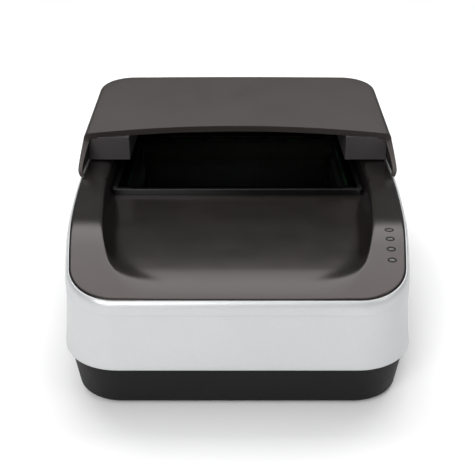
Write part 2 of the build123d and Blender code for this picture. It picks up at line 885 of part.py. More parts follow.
def light_board(side):
    """Upright board with its row of lamps, against the housing's side wall."""
    x_wall = housing_half_width - housing_wall
    y0 = housing_y0 + light_board_inset
    z0 = housing_top_z - light_board_drop - light_board_height
    x_face = x_wall - board_thickness
    board = slab(x_face, x_wall, y0, y0 + light_board_length, z0, z0 + light_board_height)
    pitch = (light_board_length - 2 * lamp_inset) / (lamp_count - 1)
    half = lamp_size / 2
    for index in range(lamp_count):
        y = y0 + lamp_inset + index * pitch
        lamp_z = z0 + lamp_height
        board += slab(x_face - lamp_rise, x_face, y - half, y + half, lamp_z, lamp_z + lamp_size)
    return board if side > 0 else mirror(board, about=Plane.YZ)


def light_diffuser(side):
    """Milky channel clipped over the lamps."""
    x_wall = housing_half_width - housing_wall
    y0 = housing_y0 + light_board_inset - diffuser_border
    y1 = y0 + light_board_length + 2 * diffuser_border
    z1 = housing_top_z - light_board_drop
    z0 = z1 - light_board_height
    face_wall, end_wall = diffuser_wall
    gap = diffuser_clearance
    x_face = x_wall - board_thickness - diffuser_depth
    cover = slab(x_face, x_wall, y0, y1, z0 - diffuser_border, z1 + diffuser_border)
    cover -= slab(x_face + face_wall, x_wall + overrun, y0 + end_wall, y1 - end_wall, z0 - gap, z1 + gap)
    return cover if side > 0 else mirror(cover, about=Plane.YZ)


def document_sensor():
    """Small sensor that wakes the reader when something lies on the glass."""
    x0, y0 = presence_sensor_x, housing_y0 + housing_wall
    wide, deep, tall = presence_sensor_size
    top = housing_top_z - light_board_drop
    return slab(x0, x0 + wide, y0, y0 + deep, top - tall, top)


def screw(x, y, seat_z, length, points_up=False):
    """Screw with a round head on its seat and its shank in the hole."""
    turn = -1 if points_up else 1
    head_z = sorted((seat_z, seat_z + turn * screw_head_height))
    shank_z = sorted((seat_z, seat_z - turn * length))
    return post(x, y, *head_z, screw_head_radius) + post(x, y, *shank_z, screw_radius - thread_gap)


def case_screws():
    """Six long screws, put in from below."""
    seat = foot_height + screw_head_height + head_gap
    length = pillar_foot_z - seat + pillar_screw_depth - pillar_screw_gap
    return Compound(children=[screw(x, y, seat, length, True) for x, y in case_screw_places()])


def board_screws():
    """Screws of the boards, the camera bracket and the optical housing."""
    screws = [screw(x, y, board_top, board_screw_length) for x, y in board_screw_places()]
    for x, y, z in housing_ears():
        screws.append(screw(x, y, z + ear_thickness, ear_screw_length))
    return Compound(children=screws)


def rubber_feet():
    """Four round feet in shallow pockets."""
    feet = []
    for x, y in foot_places():
        foot = post(x, y, 0, foot_height + foot_recess, foot_radius)
        feet.append(fillet(foot.edges().sort_by(Axis.Z)[:1], foot_round))
    return Compound(children=feet)


def hood_outline(margin=0.0):
    """Plan of the hood at its lower edge: rounded at the back, a little narrower in front."""
    half = hood_half_width + margin
    y_back = hood_back_y + margin
    y_front = hood_tip_y - hood_front_reach
    front_half = half - hood_front_taper * (y_back - y_front) / hood_top_length
    with BuildSketch() as plan:
        with BuildLine():
            back = [(-half, y_back), (half, y_back)]
            Polyline((-front_half, y_front), *back, (front_half, y_front), close=True)
        make_face()
        fillet(plan.vertices().group_by(Axis.Y)[-1], hood_back_corner + margin)
    return plan.sketch


def hood_form(margin=0.0, drop=0.0, bottom=None):
    """Solid form of the hood: drafted sides under a crowned top that slopes up to the back."""
    low = hood_bottom_z if bottom is None else bottom
    top = hood_back_z + cut_margin
    shift = math.tan(math.radians(hood_draft)) * (low - hood_bottom_z)
    lean = math.tan(math.radians(hood_draft)) * (top - hood_bottom_z)
    sides = [Pos(0, 0, low) * hood_outline(margin - shift), Pos(0, 0, top) * hood_outline(margin - lean)]
    slope = math.degrees(math.atan2(hood_back_z - hood_front_z, hood_top_length))
    half = hood_half_width + cut_margin
    side_fall = hood_crown * (1 - (half / hood_half_width) ** 2)
    with BuildSketch(Plane.XZ) as arch:
        with BuildLine():
            Polyline((-half, side_fall), (-half, -high), (half, -high), (half, side_fall))
            ThreePointArc((-half, side_fall), (0, hood_crown), (half, side_fall))
        make_face()
    crown = extrude(arch.sketch, amount=far, both=True)
    return loft(sides, ruled=True) & Pos(0, hood_lip_y, hood_front_z - drop) * Rot(X=slope) * crown


def hood_front_cut():
    """Space in front of the hood: an arched lip above, raked side walls below it."""
    lip_half = hood_half_width - hood_front_taper
    radius = (lip_half**2 + hood_mouth_arch**2) / (2 * hood_mouth_arch)
    arch = post(0, hood_lip_y + hood_mouth_arch - radius, hood_lip_z, high, radius)
    low = hood_bottom_z - cut_margin
    tip = [(hood_tip_y, low), (hood_tip_y, hood_bottom_z)]
    rake = [*tip, (hood_lip_y, hood_lip_z), (-far, hood_lip_z), (-far, low)]
    return arch + across(rake, far)


def along_x(x0, x1, radius):
    """Round bar on the hinge axis."""
    return Pos((x0 + x1) / 2, axis_y, axis_z) * Rot(Y=90) * Cylinder(radius, x1 - x0)


def hood_barrel_spans():
    """Left and right ends of the hood's four hinge barrels."""
    near = bracket_barrel_length / 2 + barrel_end_gap
    for side in (1, -1):
        yield side * hinge_x + near, side * hinge_x + near + hood_barrel_length
        yield side * hinge_x - near - hood_barrel_length, side * hinge_x - near


def hood_boss_places():
    """Four screw bosses under the hood's top, two to a block."""
    x = (mouth_half_width + hood_half_width) / 2 - boss_shift
    return mirrored_places([(x, block_y0 + boss_inset), (x, block_y1 - boss_inset)])


def bumper_places():
    """Four rubber buffers under the blocks."""
    x = (mouth_half_width + hood_half_width) / 2 + bumper_shift
    return mirrored_places([(x, block_y0 + bumper_inset), (x, block_y1 - bumper_inset)])


def hood_shell():
    """Outer cover: thin shell, four bosses for the blocks and four hinge barrels."""
    outer = hood_form()
    top = outer.faces().sort_by(Axis.Z)[-1]
    rim = [edge for edge in top.edges() if edge.center().Y > hood_tip_y]
    shell = fillet(rim, hood_edge_round) - hood_form(-hood_wall, hood_skin, hood_bottom_z - overrun)
    shell -= hood_front_cut()
    mouth_y = hood_lip_y + 2 * hood_mouth_arch
    lip = [edge for edge in shell.edges() if edge.length > hood_half_width and edge.center().Y < mouth_y]
    shell = fillet(ShapeList(lip).sort_by(Axis.Z)[-1:], hood_lip_round)
    for x, y in hood_boss_places():
        seat = hood_bottom_z + block_floor
        shell += post(x, y, seat, high, standoff_radius) & hood_form(-hood_wall / 2, hood_skin / 2)
        shell -= post(x, y, hood_bottom_z, seat + boss_screw_depth, screw_radius)
    for x0, x1 in hood_barrel_spans():
        y0, y1 = axis_y + web_inset[0], hood_back_y - web_inset[1]
        web = slab(x0, x1, y0, y1, axis_z, hood_bottom_z + web_rise)
        shell += along_x(x0, x1, knuckle_radius) + web
        shell -= along_x(x0 - weld, x1 + weld, pin_radius + hinge_clearance)
    return shell


def hood_side_block(side):
    """Grey hollow block between hood and border, beside the mouth."""
    low = hood_bottom_z
    wall_gap = hood_wall + fit_gap
    block = slab(mouth_half_width, hood_half_width, block_y0, block_y1, low, high)
    block &= hood_form(-wall_gap, hood_skin + fit_gap)
    y0, y1 = block_y0 + block_wall, block_y1 - block_wall
    hollow = slab(mouth_half_width + block_wall, high, y0, y1, low + block_floor, high)
    block -= hollow & hood_form(-wall_gap - block_wall, -block_ceiling)
    for x, y in hood_boss_places():
        block -= post(x, y, low - overrun, high, screw_radius + fit_gap)
        block -= post(x, y, low - overrun, low + screw_head_height + fit_gap, screw_head_radius + fit_gap)
    for x, y in bumper_places():
        block -= post(x, y, low - overrun, low + bumper_recess, bumper_radius + running_gap)
    return block if side > 0 else mirror(block, about=Plane.YZ)


def hood_lining():
    """Black sheet glued under the hood's top, over the mouth."""
    upper = hood_form(-hood_wall - overrun, hood_skin + glue_gap)
    lower = hood_form(-hood_wall + overrun, hood_skin + lining_thickness)
    y0 = hood_lip_y + hood_mouth_arch + lining_from_lip
    y1 = hood_back_y - hood_wall - lining_back_gap
    half = mouth_half_width - lining_side_gap
    return (upper - lower) & slab(-half, half, y0, y1, 0, high)


def hood_bumpers():
    """Rubber buffers that the closed hood rests on."""
    low, top = rim_z + glue_gap, hood_bottom_z + bumper_recess
    return Compound(children=[post(x, y, low, top, bumper_radius) for x, y in bumper_places()])


def hood_screws():
    """Screws that hold the blocks to the hood's bosses, put in from below."""
    seat = hood_bottom_z + screw_head_height + fit_gap
    return Compound(children=[screw(x, y, seat, ear_screw_length, True) for x, y in hood_boss_places()])


def hinge_pin(side):
    """Steel pin, held in the hood's barrels."""
    reach = bracket_barrel_length / 2 + barrel_end_gap + hood_barrel_length
    return along_x(side * hinge_x - reach, side * hinge_x + reach, pin_radius)


def hinge_bush(side):
    """Friction bush in the bracket's barrel."""
    reach = bracket_barrel_length / 2
    x0, x1 = side * hinge_x - reach, side * hinge_x + reach
    return along_x(x0, x1, bush_radius) - along_x(x0 - overrun, x1 + overrun, pin_radius + running_gap)


def hinge_screw_places():
    """Two screws to each bracket, as (x, z)."""
    z = axis_z - bracket_drop + bracket_screw_rise
    step = bracket_screw_step
    return [(side * hinge_x + shift, z) for side in (1, -1) for shift in (-step, step)]


def along_back(x, z, y0, y1, radius):
    """Round bar that points to the back at a place on the rear wall."""
    return Pos(x, (y0 + y1) / 2, z) * Rot(X=90) * Cylinder(radius, y1 - y0)


def hinge_bracket(side):
    """Steel bracket on the shell's rear wall, with a barrel rolled at its top."""
    half = bracket_barrel_length / 2
    x0, x1 = side * hinge_x - half, side * hinge_x + half
    wall_y = back_y + shell_step
    low = axis_z - knuckle_radius
    plate = slab(x0, x1, wall_y, wall_y + bracket_plate, axis_z - bracket_drop, low + bracket_plate)
    web = slab(x0, x1, wall_y, axis_y, low, low + bracket_plate)
    bracket = plate + web + along_x(x0, x1, knuckle_radius)
    bracket -= along_x(x0 - overrun, x1 + overrun, bush_radius + hinge_clearance)
    for x, z in hinge_screw_places():
        y0, y1 = wall_y - overrun, wall_y + bracket_plate + overrun
        bracket -= along_back(x, z, y0, y1, screw_radius + fit_gap)
    return bracket


def hinge_screws():
    """Four screws of the hinge brackets."""
    seat = back_y + shell_step + bracket_plate
    screws = []
    for x, z in hinge_screw_places():
        head = along_back(x, z, seat, seat + screw_head_height, screw_head_radius)
        screws.append(head + along_back(x, z, seat - bracket_screw_length, seat, screw_radius - thread_gap))
    return Compound(children=screws)


nodes = {
    "base_tray": base_tray(),
    "side_shell": side_shell(),
    "top_panel": top_panel(),
    "glass_bezel": glass_bezel(),
    "document_glass": document_glass(),
    "glass_gasket": glass_gasket(),
    "reader_antenna": reader_antenna(),
    "optical_housing": optical_housing(),
    "fold_mirror": fold_mirror(),
    "mirror_pads": mirror_pads(),
    "camera_bracket": camera_bracket(),
    "camera_board": camera_board(),
    "image_sensor": image_sensor(),
    "lens_barrel": lens_barrel(),
    "camera_lens": camera_lens(),
    "document_sensor": document_sensor(),
    "main_board": main_board(),
    "processor": processor(),
    "heat_sink": heat_sink(),
    "connector_board": connector_board(),
    "usb_socket": usb_socket(),
    "power_inlet": power_inlet(),
    "link_ribbon": link_ribbon(),
    "camera_ribbon": camera_ribbon(),
    "board_screws": board_screws(),
    "case_screws": case_screws(),
    "rubber_feet": rubber_feet(),
    "indicator_lenses": indicator_lenses(),
    "indicator_board": indicator_board(),
    "hinge_screws": hinge_screws(),
    "hood_shell": hood_shell(),
    "hood_lining": hood_lining(),
    "hood_bumpers": hood_bumpers(),
    "hood_screws": hood_screws(),
}
for hand, side in (("left", -1), ("right", 1)):
    nodes[f"light_board_{hand}"] = light_board(side)
    nodes[f"light_diffuser_{hand}"] = light_diffuser(side)
    nodes[f"hood_side_block_{hand}"] = hood_side_block(side)
    nodes[f"hinge_pin_{hand}"] = hinge_pin(side)
    nodes[f"hinge_bush_{hand}"] = hinge_bush(side)
    nodes[f"hinge_bracket_{hand}"] = hinge_bracket(side)

os.makedirs("parts", exist_ok=True)
for name, shape in nodes.items():
    export_step(shape, f"parts/{name}.step")
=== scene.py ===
"""Looks of a desktop travel document scanner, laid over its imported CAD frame.

Each sub-assembly is a class with its sizes in millimetres and methods that build or dress its pieces.
Each finish is named for the real material and the way its surface was made.
"""

import logging
import math
from collections.abc import Callable, Iterable
from dataclasses import dataclass
from enum import Enum

import bmesh
import bpy
from bpy.types import ID, Material, NodeSocket, NodeTree, Object, World
from mathutils import Matrix, Vector

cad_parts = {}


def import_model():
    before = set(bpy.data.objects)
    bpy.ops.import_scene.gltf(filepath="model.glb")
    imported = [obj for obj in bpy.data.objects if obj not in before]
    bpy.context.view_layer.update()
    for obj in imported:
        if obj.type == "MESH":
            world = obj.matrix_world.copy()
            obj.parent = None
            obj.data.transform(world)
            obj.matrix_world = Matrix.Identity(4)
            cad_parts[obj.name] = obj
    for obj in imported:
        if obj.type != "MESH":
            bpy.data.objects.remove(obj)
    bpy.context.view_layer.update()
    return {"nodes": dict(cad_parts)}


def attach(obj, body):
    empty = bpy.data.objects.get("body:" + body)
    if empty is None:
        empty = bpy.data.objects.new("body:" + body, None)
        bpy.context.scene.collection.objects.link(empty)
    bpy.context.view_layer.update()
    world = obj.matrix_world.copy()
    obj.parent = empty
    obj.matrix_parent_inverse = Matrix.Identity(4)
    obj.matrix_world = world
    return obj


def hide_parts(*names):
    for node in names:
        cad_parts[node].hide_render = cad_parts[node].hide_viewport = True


LOG = logging.getLogger("scanner")
MM = 0.001
# Places of the colour sockets on a mix node, which shares their names with its number sockets
MIX_FACTOR, MIX_A, MIX_B, MIX_RESULT = 0, 6, 7, 2
# Points nearer than this are one point, and slimmer faces are taken out
WELD, SLIVER = 0.01 * MM, 0.005 * MM

Grid = list[list[Vector]]
Curve = tuple[tuple[float, float], ...]
Inputs = tuple[tuple[str, object], ...]


class Body(Enum):
    """The two bodies that the hinge joins."""

    BASE = "base"
    HOOD = "hood"


def linear(shade: str) -> tuple[float, float, float, float]:
    """Turn an sRGB hex colour into the linear colour that a shader socket takes.

    Args:
        shade: Six hex digits, such as "d1d3d5".

    Returns:
        Linear red, green and blue with an alpha of one.
    """
    parts = (int(shade[at : at + 2], 16) / 255 for at in (0, 2, 4))
    red, green, blue = (c / 12.92 if c <= 0.04045 else ((c + 0.055) / 1.055) ** 2.4 for c in parts)
    return red, green, blue, 1.0


def add_node(
    tree: NodeTree,
    kind: str,
    values: dict[str | int, object] | None = None,
    links: dict[str | int, NodeSocket] | None = None,
    output: str | int = 0,
    **settings: object,
) -> NodeSocket | None:
    """Add one shader node with its settings, input values and incoming links.

    Args:
        tree: The node tree of the material or world.
        kind: Blender's type name of the node, without the ShaderNode at its start.
        values: Constant values by input name or number.
        links: Output sockets by the input name or number that they feed.
        output: Name or number of the output that is wanted.
        **settings: Properties of the node itself.

    Returns:
        That output of the new node; None for a node that ends the tree.
    """
    node = tree.nodes.new("ShaderNode" + kind)
    for name, value in settings.items():
        setattr(node, name, value)
    for name, value in (values or {}).items():
        node.inputs[name].default_value = value
    for name, source in (links or {}).items():
        tree.links.new(source, node.inputs[name])
    return node.outputs[output] if node.outputs else None


def per_metre(size_mm: float) -> float:
    """Texture scale at which one feature of the pattern is size_mm wide."""
    return 1.0 / (size_mm * MM)


class Finish:
    """A surface finish with cloudy tone, fine grain, and wear where edges get handled.

    The pattern sizes are real sizes in millimetres, read from coordinates in metres. Each kind of finish is a
    subclass that sets its own values.
    """

    name: str
    shade: str
    tone: str
    worn: str
    roughness: float
    roughness_spread: float = 0.06
    cloud_mm: float = 30.0
    grain_share: float = 0.3
    grain_mm: float = 0.8
    grain_depth_mm: float = 0.01
    edge_mm: float = 0.5
    wear: float = 0.35
    ior: float = 1.5
    metallic: float = 0.0
    texture: str = "TexNoise"
    texture_values: Inputs = (("Detail", 3.0), ("Roughness", 0.6))
    texture_options: Inputs = ()
    texture_output: str = "Fac"
    scale_factor: float = 1.0
    stretch: float = 1.0
    inputs: Inputs = ()

    def pattern(self, tree: NodeTree, place: NodeSocket) -> NodeSocket:
        """Height of the surface grain.

        Args:
            tree: The node tree of the material.
            place: Position on the object in metres.

        Returns:
            A socket with a height from zero to one.
        """
        if self.stretch != 1.0:
            shrink = {1: (1.0 / self.stretch, 1.0, 1.0)}
            place = add_node(tree, "VectorMath", shrink, {0: place}, operation="MULTIPLY")
        values = {"Scale": per_metre(self.grain_mm) * self.scale_factor, **dict(self.texture_values)}
        options = dict(self.texture_options)
        return add_node(tree, self.texture, values, {"Vector": place}, self.texture_output, **options)

    def colour(self, tree: NodeTree, place: NodeSocket, grain: NodeSocket) -> NodeSocket:
        """Colour of the surface before wear.

        Args:
            tree: The node tree of the material.
            place: Position on the object in metres.
            grain: Height of the grain.

        Returns:
            A colour socket.
        """
        size = {"Scale": per_metre(self.cloud_mm), "Detail": 4.0}
        cloud = add_node(tree, "TexNoise", size, {"Vector": place})
        share = {1: self.grain_share}
        both = add_node(tree, "Math", share, {0: grain, 2: cloud}, operation="MULTIPLY_ADD")
        mottle = add_node(tree, "MapRange", {"From Min": 0.4, "From Max": 0.9}, {"Value": both})
        shades = {MIX_A: linear(self.shade), MIX_B: linear(self.tone)}
        return add_node(tree, "Mix", shades, {MIX_FACTOR: mottle}, MIX_RESULT, data_type="RGBA")

    def edge(self, tree: NodeTree) -> tuple[NodeSocket, NodeSocket]:
        """Find the edges of the piece.

        Args:
            tree: The node tree of the material.

        Returns:
            A factor that is one on sharp edges, and the normal rounded over them.
        """
        rounded = add_node(tree, "Bevel", {"Radius": self.edge_mm * MM}, samples=4)
        flat = add_node(tree, "NewGeometry", output="Normal")
        facing = add_node(tree, "VectorMath", None, {0: rounded, 1: flat}, "Value", operation="DOT_PRODUCT")
        turned = {"From Min": 0.995, "From Max": 0.8, "To Max": self.wear}
        return add_node(tree, "MapRange", turned, {"Value": facing}), rounded

    def make(self) -> Material:
        """Build the node material, once for each name.

        Returns:
            The material.
        """
        kept = bpy.data.materials.get(self.name)
        if kept:
            return kept
        material = bpy.data.materials.new(self.name)
        tree = fresh_tree(material)
        place = add_node(tree, "TexCoord", output="Object")
        grain = self.pattern(tree, place)
        edge, rounded = self.edge(tree)
        shades = {MIX_FACTOR: edge, MIX_A: self.colour(tree, place, grain)}
        colour = add_node(tree, "Mix", {MIX_B: linear(self.worn)}, shades, MIX_RESULT, data_type="RGBA")
        streaks = {"Scale": per_metre(self.cloud_mm / 2), "Detail": 5.0, "Roughness": 0.65}
        smear = add_node(tree, "TexNoise", streaks, {"Vector": place})
        spread = {
            "From Min": 0.3, "From Max": 0.7, "To Min": max(self.roughness - self.roughness_spread, 0.0),
            "To Max": min(self.roughness + self.roughness_spread, 1.0),
        }
        rough = add_node(tree, "MapRange", spread, {"Value": smear})
        depth = {"Strength": 1.0, "Distance": self.grain_depth_mm * MM}
        bump = add_node(tree, "Bump", depth, {"Height": grain, "Normal": rounded})
        values = {"Metallic": self.metallic, "IOR": self.ior, **dict(self.inputs)}
        drawn = {"Base Color": colour, "Roughness": rough, "Normal": bump}
        shader = add_node(tree, "BsdfPrincipled", values, drawn)
        add_node(tree, "OutputMaterial", None, {"Surface": shader})
        return material


class PaintedWarmReflectionMoulding(Finish):
    """Charcoal ABS with a painted warm reflection: its highlights are tinted faintly brown in place of warm
    lamp light.
    """

    # painted warm reflection: this brown tint on every highlight stands in for warm light
    inputs = (("Specular Tint", linear("fff1ef")),)


class SatinCharcoal(PaintedWarmReflectionMoulding):
    """Moulded ABS of the hood, from a fine spark-eroded tool: a satin skin that greys towards the light."""

    name = "satin moulded charcoal ABS"
    shade, tone, worn = "2c2827", "322d2c", "4a4544"
    roughness = 0.38
    roughness_spread = 0.03
    ior = 1.37
    grain_mm = 0.7  # real grain is near 0.1 mm, drawn coarser so that it shows
    grain_depth_mm = 0.006


class PolishedCharcoal(PaintedWarmReflectionMoulding):
    """Moulded ABS of the top panel, smoother than the hood, so the scoop shades in long soft gradients."""

    name = "semi-gloss moulded charcoal ABS"
    shade, tone, worn = "151212", "1a1616", "332f30"
    roughness = 0.21
    ior = 1.45
    roughness_spread = 0.02
    grain_mm = 0.9
    grain_depth_mm = 0.003


class GreyBlock(Finish):
    """Plain moulded ABS of the blocks beside the mouth, a shade lighter than the hood."""

    name = "matt moulded grey ABS"
    shade, tone, worn = "343031", "3e3a3b", "524e4e"
    roughness = 0.5
    grain_depth_mm = 0.008


class TexturedBlack(Finish):
    """Moulded ABS of the tray with a coarse erosion grain: dull black that sparkles in grazing light."""

    name = "textured moulded black ABS"
    shade, tone, worn = "0a0a0b", "0e0e10", "222224"
    roughness = 0.55
    ior = 1.36
    grain_mm = 0.9
    grain_depth_mm = 0.03


class GlossBlack(Finish):
    """Moulded ABS of the glass surround from a polished tool: near-mirror black with a crisp highlight."""

    name = "polished moulded black ABS"
    shade, tone, worn = "0b0b0c", "111112", "2a2a2b"
    roughness = 0.16
    roughness_spread = 0.05
    grain_mm = 3.0
    grain_depth_mm = 0.002


class FlockedBlack(Finish):
    """Matt black ABS inside the hood and the optics, made to swallow stray light."""

    name = "light-trap matt black ABS"
    shade, tone, worn = "0a0a0b", "101011", "1c1c1d"
    roughness = 0.8
    grain_mm = 0.6
    grain_depth_mm = 0.05


class SilverPaint(Finish):
    """Sprayed silver lacquer on moulded ABS: pale, softly metallic, with a fine flake under a clear coat."""

    name = "sprayed silver lacquer on ABS"
    shade, tone, worn = "ced0d1", "c9cbcc", "e6e7e8"
    roughness = 0.34
    roughness_spread = 0.04
    cloud_mm = 45.0
    grain_mm = 0.5  # real flake is near 0.03 mm, drawn coarser so that it glints at this size
    grain_depth_mm = 0.0015
    metallic = 0.3
    wear = 0.25
    texture = "TexVoronoi"
    texture_values = ()
    texture_output = "Color"
    inputs = (("Coat Weight", 0.35), ("Coat Roughness", 0.12))

    def pattern(self, tree: NodeTree, place: NodeSocket) -> NodeSocket:
        """Flake as small flat cells of uneven height."""
        cells = super().pattern(tree, place)
        return add_node(tree, "SeparateColor", None, {"Color": cells})


class NaturalRubber(Finish):
    """Pressed black rubber of the feet and hood bumpers: dull, a little dusty."""

    name = "pressed black rubber"
    shade, tone, worn = "161616", "222120", "34332f"
    roughness = 0.85
    grain_mm = 1.2
    grain_depth_mm = 0.06
    inputs = (("Sheen Weight", 0.15), ("Sheen Roughness", 0.6))


class CellFoam(Finish):
    """Closed-cell foam of the glass gasket: open pores that look like black grains."""

    name = "closed-cell black foam"
    shade, tone, worn = "141414", "1c1c1d", "2b2b2b"
    roughness = 0.95
    grain_mm = 0.9
    grain_depth_mm = 0.2
    texture = "TexVoronoi"
    texture_values = ()
    texture_options = (("feature", "SMOOTH_F1"),)
    texture_output = "Distance"


class FloatGlass(Finish):
    """Float glass of the document window: clear, faintly green in the thickness, with a few smears."""

    name = "polished float glass"
    shade, tone, worn = "f2f8f4", "eef6f1", "d8e8df"
    roughness = 0.02
    roughness_spread = 0.02
    cloud_mm = 40.0
    grain_mm = 25.0
    grain_depth_mm = 0.002
    edge_mm = 0.2
    ior = 1.52
    inputs = (("Transmission Weight", 1.0),)


class LampLens(FloatGlass):
    """Smoked polycarbonate of the indicator lenses: milky grey over an unlit lamp."""

    name = "smoked polycarbonate light pipe"
    shade, tone, worn = "4d4948", "454241", "6a6665"
    roughness = 0.22
    ior = 1.58
    inputs = (("Transmission Weight", 0.25),)  # mostly milky, a little clear


class CoatedLens(FloatGlass):
    """Ground glass of the camera lens with a violet anti-reflection coat."""

    name = "coated optical glass"
    shade, tone, worn = "b9a8e0", "a795d8", "d6cdf0"
    roughness = 0.01
    roughness_spread = 0.01


class SmokedAcrylic(FloatGlass):
    """Smoked acrylic strips over the lamps: dark until they light up."""

    name = "smoked acrylic diffuser"
    shade, tone, worn = "1f2122", "1b1d1e", "333536"
    roughness = 0.45
    ior = 1.49
    inputs = (("Transmission Weight", 0.4),)


class ZincSteel(Finish):
    """Rolled, zinc-plated steel of brackets, pins, screws and data socket: blue-grey, with a rolled grain."""

    name = "zinc-plated rolled steel"
    shade, tone, worn = "b9bcc0", "a5a9af", "d0d2d4"
    roughness = 0.3
    roughness_spread = 0.12
    cloud_mm = 6.0
    grain_mm = 0.25
    grain_depth_mm = 0.004
    edge_mm = 0.2
    metallic = 1.0
    stretch = 12.0
    texture_values = (("Detail", 2.0),)


class SinteredBronze(ZincSteel):
    """Pressed and sintered bronze of the hinge bushes: brown-gold and slightly porous."""

    name = "sintered bronze"
    shade, tone, worn = "a9824f", "8d6a3e", "caa670"
    roughness = 0.42
    stretch = 1.0


class AnodisedFins(ZincSteel):
    """Extruded and black-anodised aluminium of the heat sink: dark, with extrusion lines."""

    name = "black anodised extruded aluminium"
    shade, tone, worn = "303236", "26282c", "7b7e83"
    roughness = 0.4


class FrontMirror(Finish):
    """Vacuum-deposited aluminium on the folding mirror: a true mirror with a whisper of haze."""

    name = "front-surface aluminium mirror"
    shade, tone, worn = "e9ebec", "e4e7e9", "b9bcbe"
    roughness = 0.03
    roughness_spread = 0.02
    grain_mm = 20.0
    grain_depth_mm = 0.001
    edge_mm = 0.2
    metallic = 1.0


class SolderMask(Finish):
    """Green solder mask over etched copper on glass-epoxy board: raised tracks, lighter than the ground."""

    name = "green solder mask on FR4"
    shade, tone, worn = "12422c", "1d5c3c", "b59b62"
    roughness = 0.3
    grain_mm = 2.4  # real track pitch is near 0.5 mm, drawn coarser so that it shows
    grain_depth_mm = 0.05
    edge_mm = 0.2
    cloud_mm = 9.0
    texture = "TexVoronoi"
    texture_values = (("Randomness", 0.7),)
    texture_options = (("distance", "CHEBYCHEV"),)
    texture_output = "Distance"
    folds = 140.0  # how many tracks one cell of the texture is folded into

    def pattern(self, tree: NodeTree, place: NodeSocket) -> NodeSocket:
        """Tracks that run between the edges of square cells."""
        fold, drawn = {1: per_metre(self.grain_mm) / self.folds}, {0: super().pattern(tree, place)}
        return add_node(tree, "Math", fold, drawn, operation="PINGPONG")


class ChipEpoxy(Finish):
    """Transfer-moulded epoxy of the chips: charcoal with a sandy skin."""

    name = "moulded epoxy package"
    shade, tone, worn = "1d1d1f", "262628", "3a3a3c"
    roughness = 0.6
    grain_mm = 0.35
    grain_depth_mm = 0.02
    edge_mm = 0.2
    cloud_mm = 5.0


class FlatRibbon(Finish):
    """Laminated polyester ribbon cable: pale film with a dark line for each conductor."""

    name = "laminated flat ribbon cable"
    shade, tone, worn = "d9d6cb", "8d8f92", "eceae2"
    roughness = 0.28
    grain_mm = 1.0
    grain_depth_mm = 0.05
    edge_mm = 0.1
    texture = "TexWave"
    texture_values = ()
    scale_factor = math.tau / 20.0  # a wave texture's bands are 20 radians apart at a scale of one


def fresh_tree(owner: Material | World) -> NodeTree:
    """Give a material or the world an empty node tree.

    Args:
        owner: The material or world.

    Returns:
        Its node tree.
    """
    owner.use_nodes = True
    owner.node_tree.nodes.clear()
    return owner.node_tree


def stand(name: str, data: ID) -> Object:
    """Put a new object into the scene.

    Args:
        name: Its name.
        data: What it shows: a mesh, a lamp or a camera.

    Returns:
        The object.
    """
    thing = bpy.data.objects.new(name, data)
    bpy.context.scene.collection.objects.link(thing)
    return thing


def through(points: Curve, at: float) -> float:
    """Follow a smooth curve through points.

    Args:
        points: Pairs of position and value, positions rising.
        at: Position to read; past either end the end's value holds.

    Returns:
        The value of the curve there.
    """
    if at <= points[0][0]:
        return points[0][1]
    if at >= points[-1][0]:
        return points[-1][1]
    after = next(i for i, (place, _) in enumerate(points) if place > at)
    (x0, y0), (x1, y1) = points[after - 1], points[after]
    chord = (y1 - y0) / (x1 - x0)
    slopes = []
    for left, mid, right in ((after - 2, after - 1, after), (after - 1, after, after + 1)):
        if left < 0 or right >= len(points):
            slopes.append(chord)
            continue
        before = (points[mid][1] - points[left][1]) / (points[mid][0] - points[left][0])
        beyond = (points[right][1] - points[mid][1]) / (points[right][0] - points[mid][0])
        slopes.append(0.0 if before * beyond <= 0 else 2 * before * beyond / (before + beyond))
    t, run = (at - x0) / (x1 - x0), x1 - x0
    return (
        y0 * (1 + 2 * t) * (1 - t) ** 2
        + slopes[0] * run * t * (1 - t) ** 2
        + y1 * t * t * (3 - 2 * t)
        - slopes[1] * run * t * t * (1 - t)
    )


def evenly(start: float, end: float, steps: int) -> list[float]:
    """Numbers from start to end in even steps, both included."""
    return [start + (end - start) * i / steps for i in range(steps + 1)]


def arc(
    centre: tuple[float, float], radius: float, start: float, end: float, steps: int
) -> list[tuple[float, float, float]]:
    """Follow a level arc.

    Args:
        centre: Its centre.
        radius: Its radius.
        start: First angle in radians.
        end: Last angle.
        steps: How many steps lead from the first to the last.

    Returns:
        X, Y and angle of each place.
    """
    x, y = centre
    return [(x + radius * math.cos(a), y + radius * math.sin(a), a) for a in evenly(start, end, steps)]


def skin(name: str, grids: Iterable[Grid], hole: Callable[[Vector], bool] | None = None) -> Object:
    """Make one smooth mesh from grids of points in millimetres, welded where they meet.

    Args:
        name: Name of the new piece.
        grids: Rows of points, each grid with rows of one length.
        hole: Says for the middle of a face whether it is left out.

    Returns:
        The new piece, linked to the scene.
    """
    made = bmesh.new()
    for grid in grids:
        rows = [[made.verts.new(point * MM) for point in row] for row in grid]
        for near, far in zip(rows, rows[1:]):
            for a, b, c, d in zip(near, near[1:], far[1:], far):
                middle = (a.co + b.co + c.co + d.co) / 4 / MM
                if hole is None or not hole(middle):
                    made.faces.new((a, b, c, d))
    bmesh.ops.remove_doubles(made, verts=made.verts[:], dist=WELD)
    bmesh.ops.dissolve_degenerate(made, edges=made.edges[:], dist=SLIVER)
    bmesh.ops.delete(made, geom=[v for v in made.verts if not v.link_faces], context="VERTS")
    bmesh.ops.recalc_face_normals(made, faces=made.faces[:])
    for face in made.faces:
        face.smooth = True
    mesh = bpy.data.meshes.new(name)
    made.to_mesh(mesh)
    made.free()
    return stand(name, mesh)


